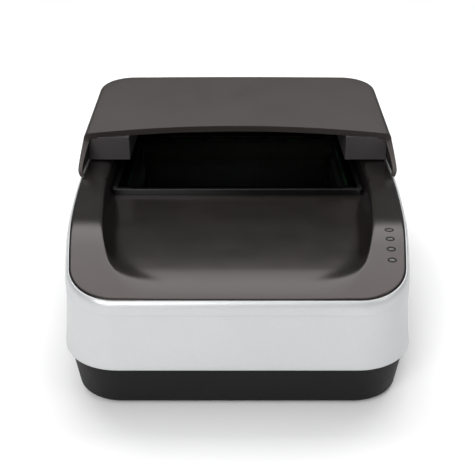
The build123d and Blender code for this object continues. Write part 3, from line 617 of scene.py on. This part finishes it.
def fit(piece: Object, finish: Finish, body: Body, slot: str, *stands_for: str) -> None:
    """Finish a new piece and fix it to its body.

    Args:
        piece: The new piece, in place.
        finish: What it is finished in.
        body: The body that it moves with.
        slot: The record's material slot; not used.
        *stands_for: CAD nodes that it replaces.
    """
    piece.data.materials.append(finish.make())
    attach(piece, body.value)
    if stands_for:
        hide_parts(*stands_for)
    LOG.info("made %s in %s, %d faces", piece.name, finish.name, len(piece.data.polygons))


@dataclass(frozen=True)
class BodyPlan:
    """Plan and rim of the body in millimetres: level front, long arcs down the sides, straight back."""

    front_y: float = -105.6
    back_y: float = 100.5
    half_width: float = 82.0
    front_half: float = 69.6
    arc_start_y: float = 30.5
    front_round: float = 22.0
    back_round: float = 19.0
    rim_z: float = 66.0
    front_drop: float = 11.6
    slope: float = math.tan(math.radians(15.0))
    roll_reach: float = 12.0

    @property
    def side_radius(self) -> float:
        """Radius of the long arc down each side."""
        rise = self.half_width - self.front_half
        return ((self.arc_start_y - self.front_y) ** 2 + rise**2) / (2 * rise)

    @property
    def side_centre(self) -> tuple[float, float]:
        """Centre of the right side's arc."""
        return self.half_width - self.side_radius, self.arc_start_y

    @property
    def corner(self) -> tuple[float, float]:
        """Centre of the front right corner's arc."""
        (side_x, side_y), y = self.side_centre, self.front_y + self.front_round
        return side_x + math.sqrt((self.side_radius - self.front_round) ** 2 - (side_y - y) ** 2), y

    @property
    def back_corner(self) -> tuple[float, float]:
        """Centre of the back right corner's arc."""
        return self.half_width - self.back_round, self.back_y - self.back_round

    @property
    def corner_turn(self) -> float:
        """Angle at which the corner's arc runs into the side's arc, in radians below the X axis."""
        (x, y), (side_x, side_y) = self.corner, self.side_centre
        return math.atan2(side_y - y, x - side_x)

    def loop(self) -> list[tuple[Vector, Vector]]:
        """Walk round the whole outline.

        Returns:
            Places on the outline with the outward direction at each, the first one again at the end.
        """
        turn, back_x = self.corner_turn, self.back_corner[0]
        right = [(across, self.front_y, -math.pi / 2) for across in evenly(0.0, self.corner[0], 9)[:-1]]
        right += arc(self.corner, self.front_round, -math.pi / 2, -turn, 18)
        right += arc(self.side_centre, self.side_radius, -turn, 0.0, 20)[1:]
        straight = evenly(self.arc_start_y, self.back_corner[1], 8)[1:-1]
        right += [(self.half_width, along, 0.0) for along in straight]
        right += arc(self.back_corner, self.back_round, 0.0, math.pi / 2, 14)
        right += [(across, self.back_y, math.pi / 2) for across in evenly(back_x, 0.0, 9)[1:]]
        half = [(Vector((a, b, 0.0)), Vector((math.cos(c), math.sin(c), 0.0))) for a, b, c in right]
        left = [(Vector((-p.x, p.y, 0.0)), Vector((-n.x, n.y, 0.0))) for p, n in reversed(half)]
        return half + left[1:]

    def half_at(self, y: float, margin: float) -> float:
        """Half the width of the body at a place along it.

        Args:
            y: Place along the body.
            margin: How far the outline is grown.

        Returns:
            Distance from the middle to the outline.
        """
        (x, corner_y), (side_x, side_y) = self.corner, self.side_centre
        radius = self.side_radius + margin
        back_x, back_y = self.back_corner
        if y > back_y:
            return back_x + math.sqrt(max((self.back_round + margin) ** 2 - (y - back_y) ** 2, 0.0))
        if y > side_y:
            return self.half_width + margin
        if y > side_y - radius * math.sin(self.corner_turn):
            return side_x + math.sqrt(radius**2 - (side_y - y) ** 2)
        return x + math.sqrt(max((self.front_round + margin) ** 2 - (corner_y - y) ** 2, 0.0))

    def distance_in(self, x: float, y: float) -> float:
        """How far a place lies inside the outline.

        Args:
            x: Place to the right or left.
            y: Place along the body.

        Returns:
            Distance to the outline.
        """
        x = abs(x)
        (corner_x, corner_y), (side_x, side_y) = self.corner, self.side_centre
        back_x, back_y = self.back_corner
        angle = math.atan2(y - corner_y, x - corner_x)
        if x > corner_x and y < corner_y and angle < -self.corner_turn:
            return self.front_round - math.hypot(x - corner_x, y - corner_y)
        if x > back_x and y > back_y:
            return self.back_round - math.hypot(x - back_x, y - back_y)
        side = self.half_width - x if y > side_y else self.side_radius - math.hypot(x - side_x, y - side_y)
        return min(y - self.front_y, self.back_y - y, side)

    def rim_at(self, y: float) -> float:
        """Height of the rim: level behind, a long roll, then an even slope to the front.

        Args:
            y: Place along the body.

        Returns:
            Height above the desk.
        """
        bend = self.front_y + self.front_drop / self.slope
        lean = math.atan(self.slope)
        start, end = bend - self.roll_reach * math.cos(lean), bend + self.roll_reach
        if y >= end:
            return self.rim_z
        if y <= start:
            return self.rim_z - self.front_drop + (y - self.front_y) * self.slope
        radius = self.roll_reach / math.tan(lean / 2)
        return self.rim_z - radius + math.sqrt(radius**2 - (end - y) ** 2)


@dataclass(frozen=True)
class TopPanel:
    """Charcoal panel: rolled border, bowl-like scoop that runs out to the front, well for the glass."""

    plan: BodyPlan = BodyPlan()
    seam: float = 0.35
    edge_round: float = 0.8
    skirt: float = 3.4
    floor_z: float = 55.7
    floor_sunk: float = 0.3
    lip_softness: float = 0.6
    bowl_power: float = 2.4
    window: tuple[float, float, float] = (60.5, 5.6, 88.6)
    well_back_y: float = 94.5
    well_softness: float = 0.3
    well_wall: float = 0.9
    outside_reach: float = -20.0
    widest_share: float = 0.82
    rim_steps: tuple[float, ...] = (0.0, 0.05, 0.2, 0.45, 0.8)
    lip_steps: tuple[float, ...] = (1.8, 1.0, 0.5, 0.2)
    wall_steps: tuple[float, ...] = (0.1, 0.4, 0.8, 1.2, 1.7, 2.4, 3.3, 4.5, 6.0, 8.0, 10.5)
    border_columns: tuple[float, float, int] = (1.4, 3.0, 6)
    floor_columns: tuple[float, int] = (13.0, 14)
    end_steps: tuple[float, ...] = (0.0, 0.05, 0.2, 0.45, 0.8, 1.4, 2.2, 3.2)
    scoop_rows: tuple[float, float, int] = (4.5, -6.0, 62)
    glass_front_rows: tuple[float, ...] = (-4.5, -3.0, -2.0, -1.2, -0.4, 0.5)
    glass_rows: int = 12
    well_rows: tuple[float, ...] = (91.0, 92.6, 93.4, 93.7, 94.0, 94.2, 94.4, 94.6, 94.9, 95.5)
    edge_line: Curve = (
        (-125.6, 38.0), (-105.6, 45.5), (-93.9, 49.9), (-80.6, 57.0), (-61.3, 61.3), (-33.6, 64.9),
        (-6.0, 67.6),
    )
    wall_width: Curve = (
        (-106.0, 32.0), (-96.0, 26.0), (-86.0, 15.0), (-76.0, 10.5), (-61.0, 8.5), (-35.0, 7.5), (-12.0, 5.5),
        (-4.0, 3.5), (-0.5, 1.3),
    )
    floor_line: Curve = (
        (-101.6, 55.2), (-96.0, 55.98), (-90.0, 56.48), (-82.0, 56.84), (-72.0, 56.96), (-60.0, 56.88),
        (-42.0, 56.52), (-25.0, 56.04), (-8.0, 55.7),
    )

    def floor_at(self, y: float) -> float:
        """Height of the scoop's floor, with a soft crest behind the front edge."""
        ahead = y < self.floor_line[0][0]
        return self.plan.rim_at(y) - self.floor_sunk if ahead else through(self.floor_line, y)

    def height(self, x: float, y: float) -> float:
        """Height of the panel's surface.

        Args:
            x: Place to the right or left.
            y: Place along the body.

        Returns:
            Height above the desk.
        """
        rim = self.plan.rim_at(y)
        inside = max(through(self.edge_line, y) - abs(x), self.outside_reach)
        reach = (inside + math.hypot(inside, self.lip_softness)) / 2
        share = min(reach / through(self.wall_width, y), 1.0)
        behind = self.well_back_y - y
        back = min(max((behind + math.hypot(behind, self.well_softness)) / 2, 0.0) / self.well_wall, 1.0)
        sunk = (rim - self.floor_at(y)) * (1 - (1 - share) ** self.bowl_power) * (1 - (1 - back) ** 2)
        near = max(self.edge_round - max(self.plan.distance_in(x, y) - self.seam, 0.0), 0.0)
        turned = self.edge_round - math.sqrt(self.edge_round**2 - near**2)
        return rim - sunk - turned

    def places_across(self, y: float) -> list[float]:
        """Places of the columns, from the right outline to the left one.

        Args:
            y: Place of the row.

        Returns:
            X of each column.
        """
        out = self.plan.half_at(y, -self.seam)
        edge = min(through(self.edge_line, y), self.widest_share * out)
        from_rim, from_lip, border_count = self.border_columns
        from_edge, floor_count = self.floor_columns
        right = [out - step for step in self.rim_steps]
        right += evenly(out - from_rim, edge + from_lip, border_count)
        right += [edge + step for step in self.lip_steps] + [edge - step for step in self.wall_steps]
        right += evenly(edge - from_edge, 0.0, floor_count)
        return right + [-x for x in reversed(right[:-1])]

    def places_along(self) -> list[float]:
        """Places of the rows, close together where the surface turns.

        Returns:
            Y of each row.
        """
        front, back = self.plan.front_y + self.seam, self.plan.back_y - self.seam
        (scoop_start, scoop_end, scoop_count), (_, glass_front, glass_back) = self.scoop_rows, self.window
        rows = [front + step for step in self.end_steps] + evenly(front + scoop_start, scoop_end, scoop_count)
        rows += [*self.glass_front_rows, *evenly(glass_front, glass_back, self.glass_rows), *self.well_rows]
        return rows + [back - step for step in reversed(self.end_steps)]

    def build(self) -> None:
        """Make the panel and stand it for its CAD node."""
        along = self.places_along()
        rows = [[Vector((x, y, self.height(x, y))) for x in self.places_across(y)] for y in along]
        drop = Vector((0.0, 0.0, self.skirt))
        outer = rows[0] + [row[-1] for row in rows[1:]] + rows[-1][-2::-1] + [row[0] for row in rows[-2::-1]]
        half, front, back = self.window

        def is_window(middle: Vector) -> bool:
            """Whether a face lies over the window in the well's floor."""
            return middle.z < self.floor_z + 1 and abs(middle.x) < half and front < middle.y < back

        piece = skin("top_panel_skin", [rows, [outer, [point - drop for point in outer]]], is_window)
        fit(piece, PolishedCharcoal(), Body.BASE, "panel_charcoal", "top_panel")


@dataclass(frozen=True)
class SideShell:
    """Silver ring: rolled top edge, fine line below the roll, face that flares to a crisp lower edge."""

    plan: BodyPlan = BodyPlan()
    step: float = 1.9
    flare: float = 2.5
    bottom_z: float = 21.8
    waist_z: float = 48.0
    roll_height: float = 5.6
    roll_sunk: float = 0.12
    line_depth: float = 0.12
    line_edges: tuple[float, float, float] = (0.2, 0.4, 0.65)
    below_line: float = 1.4
    waist_gap: float = 1.8
    flare_power: float = 1.15
    lower_round: float = 0.9
    thickness: float = 2.4
    seam_edge: tuple[float, float] = (3.4, 0.3)
    inside_lean: tuple[float, float] = (0.3, 6.0)

    def profile(self) -> list[tuple[float, float, bool]]:
        """Points from the seam over the roll and down the outside, then in under the lower edge.

        Returns:
            Distance outside the plan, height, and whether the height is counted down from the rim.
        """
        roll = [
            (self.step * math.sin(angle), self.roll_height * (1 - math.cos(angle)) + self.roll_sunk, True)
            for angle in evenly(0.0, math.pi / 2, 14)
        ]
        line, (above, lowest, below) = self.roll_height + self.roll_sunk, self.line_edges
        roll += [(self.step, line + above, True), (self.step - self.line_depth, line + lowest, True)]
        roll += [(self.step, line + below, True), (self.step, line + self.below_line, True)]
        full = self.step + self.flare
        fall = self.waist_z - self.bottom_z - self.lower_round
        side = [
            (self.step + self.flare * share**self.flare_power, self.waist_z - fall * share, False)
            for share in evenly(0.0, 1.0, 10)
        ]
        turn = [
            (
                full - self.lower_round * (1 - math.cos(angle)),
                self.bottom_z + self.lower_round * (1 - math.sin(angle)), False,
            )
            for angle in evenly(0.0, math.pi / 2, 6)[1:]
        ]
        lean, rise = self.inside_lean
        within = full - self.thickness
        inside = [(within, self.bottom_z, False), (within - lean, self.bottom_z + rise, False)]
        return [(0.0, drop, True) for drop in self.seam_edge] + roll + side + turn + inside

    def build(self) -> None:
        """Make the ring and stand it for its CAD node."""
        rows = []
        for out, z, from_rim in self.profile():
            row = []
            for place, outward in self.plan.loop():
                point = place + outward * out
                rim = self.plan.rim_at(point.y)
                low = min(self.waist_z, rim - self.roll_height - self.waist_gap)
                squeeze = (low - self.bottom_z) / (self.waist_z - self.bottom_z)
                height = rim - z if from_rim else self.bottom_z + (z - self.bottom_z) * squeeze
                row.append(Vector((point.x, point.y, height)))
            rows.append(row)
        piece = skin("side_shell_skin", [rows])
        fit(piece, SilverPaint(), Body.BASE, "shell_silver", "side_shell")


@dataclass(frozen=True)
class HoodSkin:
    """Charcoal cover: crowned top that rises to the back, drafted sides, rolled edge round the mouth."""

    half_width: float = 85.4
    back_y: float = 110.0
    lip_y: float = 22.0
    length: float = 88.0
    taper: float = 1.4
    back_round: float = 20.0
    bottom_z: float = 66.5
    front_z: float = 82.0
    back_z: float = 89.5
    crown: float = 0.5
    draft: float = math.tan(math.radians(3.0))
    mouth_arch: float = 9.0
    tip_reach: float = 25.5
    edge_round: float = 3.0
    tip_round: float = 1.6
    bulge: float = 0.32
    wall: float = 3.4
    skirt_wall: float = 2.1
    roll: float = 0.9
    roll_steps: int = 5
    roll_from_degrees: float = 50.0
    tip_curl: float = 1.8
    tip_share: float = 0.25
    curl_share: float = 0.3
    curl_length: float = 9.0
    crowding: float = 1.3
    side_steps: int = 22
    turn_gap: float = 12.0
    back_spread: float = 0.2
    levels: tuple[float, ...] = (0.0, 0.06, 0.13, 0.22, 0.35, 0.5, 0.65, 0.8, 0.9, 1.0)
    axis: tuple[float, float] = (106.2, 63.0)
    barrel_radius: float = 3.2
    barrel_bevel: float = 0.3
    web_rise: float = 4.0
    web_gaps: tuple[float, float] = (0.8, 0.3)
    barrels: tuple[tuple[float, float], ...] = ((57.3, 65.3), (34.7, 42.7))

    def top_at(self, x: float, y: float) -> float:
        """Height of the top, crowned across and rising to the back."""
        rise = (self.back_z - self.front_z) * (y - self.lip_y) / self.length
        return self.front_z + rise + self.crown * (1 - (x / self.half_width) ** 2)

    def half_at(self, y: float) -> float:
        """Half the width at the lower edge."""
        return self.half_width - self.taper * (self.back_y - y) / self.length

    def edge_walk(self, start: float) -> list[tuple[Vector, Vector, float]]:
        """Walk along the lower edge's plan, from the front on the right to the middle of the back.

        Args:
            start: Where the walk begins along the hood.

        Returns:
            Places with the outward direction at each, and the share of the side that lies behind.
        """
        turn = self.back_y - self.back_round
        walk = []
        for share in evenly(0.0, 1.0, self.side_steps):
            y = start + (turn - start) * share**self.crowding
            walk.append((Vector((self.half_at(y), y, 0.0)), Vector((1.0, 0.0, 0.0)), share))
        x = self.half_at(turn) - self.back_round
        for angle in evenly(0.0, math.pi / 2, 12)[1:]:
            out = Vector((math.cos(angle), math.sin(angle), 0.0))
            walk.append((Vector((x, turn, 0.0)) + out * self.back_round, out, 1.0))
        back = [Vector((across, self.back_y, 0.0)) for across in evenly(x, 0.0, 10)[1:]]
        return walk + [(place, Vector((0.0, 1.0, 0.0)), 1.0) for place in back]

    def grid(self, side: int) -> Grid:
        """Outer surface of one half, from the lower edge up the wall, over the edge and in to the middle.

        Args:
            side: 1 for the right half, -1 for the left half.

        Returns:
            Rows of points, each from the mouth to the middle of the back.
        """
        rows = []
        levels = [(share, 0.0) for share in self.levels]
        levels += [(1.0, angle) for angle in evenly(0.0, math.pi / 2, 8)[1:]]
        for share, angle in levels:
            start = self.lip_y - self.tip_reach * (1 - share)
            start += self.tip_round * max(1 - share / self.tip_share, 0.0) ** 2
            curl = self.tip_curl * max(1 - share / self.curl_share, 0.0) ** 2
            row = []
            for place, out, _ in self.edge_walk(start):
                rest = place - out * self.edge_round
                wall_top = self.top_at(rest.x, rest.y) - self.edge_round
                z = self.bottom_z + (wall_top - self.bottom_z) * share + self.edge_round * math.sin(angle)
                inset = self.draft * (z - self.bottom_z) + self.edge_round * (1 - math.cos(angle))
                inset -= self.bulge * math.sin(math.pi * share)
                inset += curl * max(1 - (place.y - start) / self.curl_length, 0.0) ** 2
                point = place - out * inset
                row.append(Vector((point.x, point.y, z)))
            rows.append(row)
        last = rows[-1]
        middle_start = self.lip_y + self.mouth_arch
        turn = self.back_y - self.back_round - self.turn_gap
        shares = [share for _, _, share in self.edge_walk(self.lip_y)]
        for step in evenly(1.0, 0.0, 14)[1:]:
            row = []
            for index, (edge, share) in enumerate(zip(last, shares)):
                middle = middle_start + (turn - middle_start) * share
                middle += self.back_spread * max(index - self.side_steps, 0)
                y = edge.y + (middle - edge.y) * (1 - step**2)
                x = edge.x * step
                row.append(Vector((x, y, self.top_at(x, y))))
            rows.append(row)
        return [[Vector((side * p.x, p.y, p.z)) for p in row] for row in rows]

    def add_barrels(self, piece: Object) -> None:
        """Add the four hinge barrels with their webs to the hood's mesh.

        Args:
            piece: The hood's skin.
        """
        made = bmesh.new()
        made.from_mesh(piece.data)
        y, z = (value * MM for value in self.axis)
        front_gap, back_gap = (gap * MM for gap in self.web_gaps)
        for near, far in self.barrels:
            for side in (1, -1):
                middle, length = side * (near + far) / 2 * MM, (far - near) * MM
                turn = Matrix.Translation((middle, y, z)) @ Matrix.Rotation(math.pi / 2, 4, "Y")
                bar = bmesh.ops.create_cone(
                    made, cap_ends=True, segments=40, radius1=self.barrel_radius * MM,
                    radius2=self.barrel_radius * MM, depth=length, matrix=turn,
                )
                edges = {edge for vert in bar["verts"] for edge in vert.link_edges}
                rims = [e for e in edges if len({f for f in e.link_faces if len(f.verts) > 4}) == 1]
                bevel = self.barrel_bevel * MM
                bmesh.ops.bevel(made, geom=rims, offset=bevel, segments=2, affect="EDGES")
                web = bmesh.ops.create_cube(made, size=1.0)
                near_y, far_y = y + front_gap, self.back_y * MM - back_gap
                low, high = z, (self.bottom_z + self.web_rise) * MM
                size = Vector((length, far_y - near_y, high - low))
                centre = Vector((middle, (near_y + far_y) / 2, (low + high) / 2))
                for vert in web["verts"]:
                    vert.co = centre + vert.co * size
        made.to_mesh(piece.data)
        made.free()

    def build(self) -> None:
        """Make the cover with its thickness and rolled edges, and stand it for its CAD node."""
        piece = skin("hood_skin", [self.grid(1), self.grid(-1)])
        thick = piece.modifiers.new("wall", "SOLIDIFY")
        thick.thickness, thick.offset = self.wall * MM, -1.0
        full = piece.vertex_groups.new(name="full wall")
        for vert in piece.data.vertices:
            rise = (vert.co.z / MM - self.bottom_z) / (self.front_z - self.edge_round - self.bottom_z)
            full.add([vert.index], min(max(rise, 0.0), 1.0) ** 2, "REPLACE")
        thick.vertex_group = full.name
        thick.thickness_vertex_group = self.skirt_wall / self.wall
        rolled = piece.modifiers.new("rolled edge", "BEVEL")
        rolled.width, rolled.segments = self.roll * MM, self.roll_steps
        rolled.limit_method, rolled.angle_limit = "ANGLE", math.radians(self.roll_from_degrees)
        rolled.harden_normals = True
        shaped = bpy.data.meshes.new_from_object(piece.evaluated_get(bpy.context.evaluated_depsgraph_get()))
        piece.modifiers.clear()
        piece.vertex_groups.clear()
        piece.data = shaped
        self.add_barrels(piece)
        fit(piece, SatinCharcoal(), Body.HOOD, "hood_charcoal", "hood_shell")


@dataclass(frozen=True)
class IndicatorRow:
    """Four unlit lamp lenses on the right border, each in a dark oval rim."""

    plan: BodyPlan = BodyPlan()
    count: int = 4
    pitch: float = 6.8
    first: float = 23.5
    start_x: float = 67.4
    slant: float = 0.083
    length: float = 2.7
    width: float = 1.6
    dome: float = 0.3
    rim: float = 0.75
    rim_lift: float = 0.22
    rim_sunk: float = 0.04
    lens_sunk: float = 0.25
    lens_depth: float = 0.5
    sides: int = 32

    def places(self) -> list[Vector]:
        """Find where the lenses sit.

        Returns:
            Middle of each lens on the border's surface.
        """
        found = []
        for index in range(self.count):
            along = index * self.pitch
            x, y = self.start_x + self.slant * along, self.plan.front_y + self.first + along
            found.append(Vector((x, y, self.plan.rim_at(y))))
        return found

    def oval(self, middle: Vector, grow: float, lift: float) -> list[Vector]:
        """Closed oval about a place, lying on the border's slope.

        Args:
            middle: Its middle.
            grow: How far it is grown from the lens's edge.
            lift: How far it stands above the border.

        Returns:
            Its points, the first one again at the end.
        """
        points = []
        for angle in evenly(0.0, math.tau, self.sides):
            x = middle.x + (self.length / 2 + grow) * math.cos(angle)
            y = middle.y + (self.width / 2 + grow) * math.sin(angle)
            points.append(Vector((x, y, self.plan.rim_at(y) + lift)))
        return points

    def build(self) -> None:
        """Make the lenses and their rims, and stand the lenses for their CAD node."""
        lenses, rims = [], []
        foot = Vector((0.0, 0.0, self.lens_depth))
        for middle in self.places():
            dome, ring = [], []
            for angle in evenly(0.0, math.pi / 2, 7):
                grow = -self.width / 2 * (1 - math.cos(angle))
                dome.append(self.oval(middle, grow, self.dome * math.sin(angle) - self.lens_sunk))
            for angle in evenly(0.0, math.pi, 8):
                grow = self.rim * (1 + math.cos(angle)) / 2
                ring.append(self.oval(middle, grow, self.rim_lift * math.sin(angle) - self.rim_sunk))
            lenses.append([[point - foot for point in dome[0]], *dome])
            rims.append(ring)
        fit(skin("indicator_lens_row", lenses), LampLens(), Body.BASE, "lamp_grey", "indicator_lenses")
        fit(skin("indicator_rims", rims), FlockedBlack(), Body.BASE, "bezel_black")


@dataclass(frozen=True)
class Softbox:
    """One soft lamp: where it hangs, how wide and high it is in metres, and its power in watts."""

    name: str
    place: tuple[float, float, float]
    size: tuple[float, float]
    power: float


@dataclass(frozen=True)
class Studio:
    """Plain soft studio: camera at the photograph's angle, three soft lamps, pale floor."""

    eye: tuple[float, float, float] = (0.0, -0.3886, 0.2265)
    down_angle: float = 26.8
    picture_px: float = 475.0
    focal_px: float = 800.0
    sensor: float = 36.0
    floor_size: float = 30.0
    floor_fade: tuple[float, float] = (0.35, 0.9)
    horizon_light: float = 0.1
    dome_light: float = 0.6
    dome_rise: tuple[float, float] = (0.5, 0.9)
    lit_place: tuple[float, float, float] = (0.0, 0.0, 0.05)
    fibre_mm: float = 40.0
    lamps: tuple[Softbox, ...] = (
        Softbox("overhead softbox", (0.0, 0.77, 1.18), (2.2, 0.98), 20.0),
        Softbox("front softbox", (-0.6, -1.5, 1.0), (1.2, 1.2), 22.5),
        Softbox("side softbox", (1.3, -0.9, 0.9), (0.8, 0.8), 3.0),
    )

    def camera(self) -> None:
        """Set the camera that the photograph was taken with."""
        data = bpy.data.cameras.new("photograph camera")
        data.sensor_width = self.sensor
        data.lens = self.focal_px / self.picture_px * self.sensor
        data.clip_start, data.clip_end = 0.01, 20.0
        camera = stand("photograph camera", data)
        camera.location = self.eye
        camera.rotation_euler = (math.radians(90.0 - self.down_angle), 0.0, 0.0)
        bpy.context.scene.camera = camera
        bpy.context.scene.view_settings.view_transform = "Standard"

    def light(self) -> None:
        """Hang the soft lamps, each turned to the middle of the scanner."""
        for box in self.lamps:
            data = bpy.data.lights.new(box.name, "AREA")
            data.shape = "RECTANGLE"
            data.size, data.size_y = box.size
            data.energy = box.power
            lamp = stand(box.name, data)
            lamp.location = box.place
            aim = Vector(self.lit_place) - Vector(box.place)
            lamp.rotation_euler = aim.to_track_quat("-Z", "Y").to_euler()

    def surround(self) -> None:
        """Soft dome of light, dim at the horizon and full overhead."""
        world = bpy.data.worlds.new("studio surround")
        tree = fresh_tree(world)
        towards = add_node(tree, "TexCoord", output="Generated")
        height = add_node(tree, "SeparateXYZ", None, {"Vector": towards}, "Z")
        low, high = self.dome_rise
        rise = {"From Min": low, "From Max": high, "To Min": self.horizon_light, "To Max": self.dome_light}
        strength = add_node(tree, "MapRange", rise, {"Value": height}, interpolation_type="SMOOTHSTEP")
        white = {"Color": linear("ffffff")}
        light = add_node(tree, "Background", white, {"Strength": strength})
        plain = add_node(tree, "Background", white)
        to_camera = add_node(tree, "LightPath", output="Is Camera Ray")
        both = add_node(tree, "MixShader", None, {0: to_camera, 1: light, 2: plain})
        add_node(tree, "OutputWorld", None, {"Surface": both})
        bpy.context.scene.world = world

    def floor(self) -> None:
        """Pale matt floor, a touch brighter to the camera so that it meets the white surround."""
        half = self.floor_size / 2
        mesh = bpy.data.meshes.new("studio floor")
        ends = [(-half, -half, 0.0), (half, -half, 0.0), (half, half, 0.0), (-half, half, 0.0)]
        mesh.from_pydata(ends, [], [(0, 1, 2, 3)])
        material = bpy.data.materials.new("white paper sweep")
        tree = fresh_tree(material)
        to_camera = add_node(tree, "LightPath", output="Is Camera Ray")
        rays = {0: to_camera, 1: to_camera.node.outputs["Is Transmission Ray"]}
        straight = add_node(tree, "Math", None, rays, operation="ADD", use_clamp=True)
        place = add_node(tree, "TexCoord", output="Object")
        fibre = add_node(tree, "TexNoise", {"Scale": per_metre(self.fibre_mm)}, {"Vector": place})
        greys = {MIX_A: linear("e4e4e4"), MIX_B: linear("e8e8e8")}
        paper = add_node(tree, "Mix", greys, {MIX_FACTOR: fibre}, MIX_RESULT, data_type="RGBA")
        white, shades = linear("ffffff"), {MIX_FACTOR: straight, MIX_A: paper}
        seen = add_node(tree, "Mix", {MIX_B: white}, shades, MIX_RESULT, data_type="RGBA")
        shader = add_node(tree, "BsdfDiffuse", None, {"Color": seen})
        reach = add_node(tree, "VectorMath", None, {0: place}, "Value", operation="LENGTH")
        fading = {"From Min": self.floor_fade[0], "From Max": self.floor_fade[1]}
        fade = add_node(tree, "MapRange", fading, {"Value": reach}, interpolation_type="SMOOTHSTEP")
        far = add_node(tree, "Math", None, {0: fade, 1: to_camera}, operation="MULTIPLY")
        glow = add_node(tree, "Emission", {"Color": white})
        both = add_node(tree, "MixShader", None, {0: far, 1: shader, 2: glow})
        add_node(tree, "OutputMaterial", None, {"Surface": both})
        sweep = stand("studio floor", mesh)
        mesh.materials.append(material)


@dataclass
class Dressing:
    """Finishes for the CAD nodes of one sub-assembly."""

    title: str
    finishes: dict[str, Finish]

    def dress(self, nodes: dict[str, Object]) -> None:
        """Give each node its finish.

        Args:
            nodes: The CAD nodes of the frame by name.
        """
        for name, finish in self.finishes.items():
            node = nodes[name]
            node.data.materials.clear()
            node.data.materials.append(finish.make())
            LOG.info("%s: %s in %s", self.title, name, finish.name)


def dressings() -> Iterable[Dressing]:
    """List what the CAD nodes are finished in.

    Returns:
        The finishes of one sub-assembly after another.
    """
    steel, board, dark = ZincSteel(), SolderMask(), FlockedBlack()
    yield Dressing(
        "case",
        {
            "base_tray": TexturedBlack(), "rubber_feet": NaturalRubber(), "case_screws": steel,
            "indicator_board": board,
        },
    )
    yield Dressing(
        "window",
        {
            "glass_bezel": GlossBlack(), "document_glass": FloatGlass(), "glass_gasket": CellFoam(),
            "reader_antenna": board,
        },
    )
    yield Dressing(
        "optics",
        {
            "optical_housing": dark, "fold_mirror": FrontMirror(), "mirror_pads": CellFoam(),
            "camera_bracket": steel, "camera_board": board, "image_sensor": ChipEpoxy(),
            "lens_barrel": AnodisedFins(), "camera_lens": CoatedLens(), "document_sensor": ChipEpoxy(),
            "light_board_left": board, "light_board_right": board, "light_diffuser_left": SmokedAcrylic(),
            "light_diffuser_right": SmokedAcrylic(),
        },
    )
    yield Dressing(
        "electronics",
        {
            "main_board": board, "processor": ChipEpoxy(), "heat_sink": AnodisedFins(),
            "connector_board": board, "usb_socket": steel, "power_inlet": GlossBlack(),
            "link_ribbon": FlatRibbon(), "camera_ribbon": FlatRibbon(), "board_screws": steel,
        },
    )
    yield Dressing(
        "hood",
        {
            "hood_lining": dark, "hood_bumpers": NaturalRubber(), "hood_screws": steel,
            "hood_side_block_left": GreyBlock(), "hood_side_block_right": GreyBlock(),
        },
    )
    hinge = {f"{part}_{hand}": steel for part in ("hinge_bracket", "hinge_pin") for hand in ("left", "right")}
    hinge |= {f"hinge_bush_{hand}": SinteredBronze() for hand in ("left", "right")}
    yield Dressing("hinge", {**hinge, "hinge_screws": steel})


def main() -> None:
    """Load the frame, set up the studio, and build and dress each sub-assembly."""
    logging.basicConfig(level=logging.INFO, format="%(name)s: %(message)s")
    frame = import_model()
    studio = Studio()
    studio.camera()
    studio.light()
    studio.surround()
    studio.floor()
    SideShell().build()
    TopPanel().build()
    IndicatorRow().build()
    HoodSkin().build()
    for dressing in dressings():
        dressing.dress(frame["nodes"])


if __name__ == "__main__":
    main()
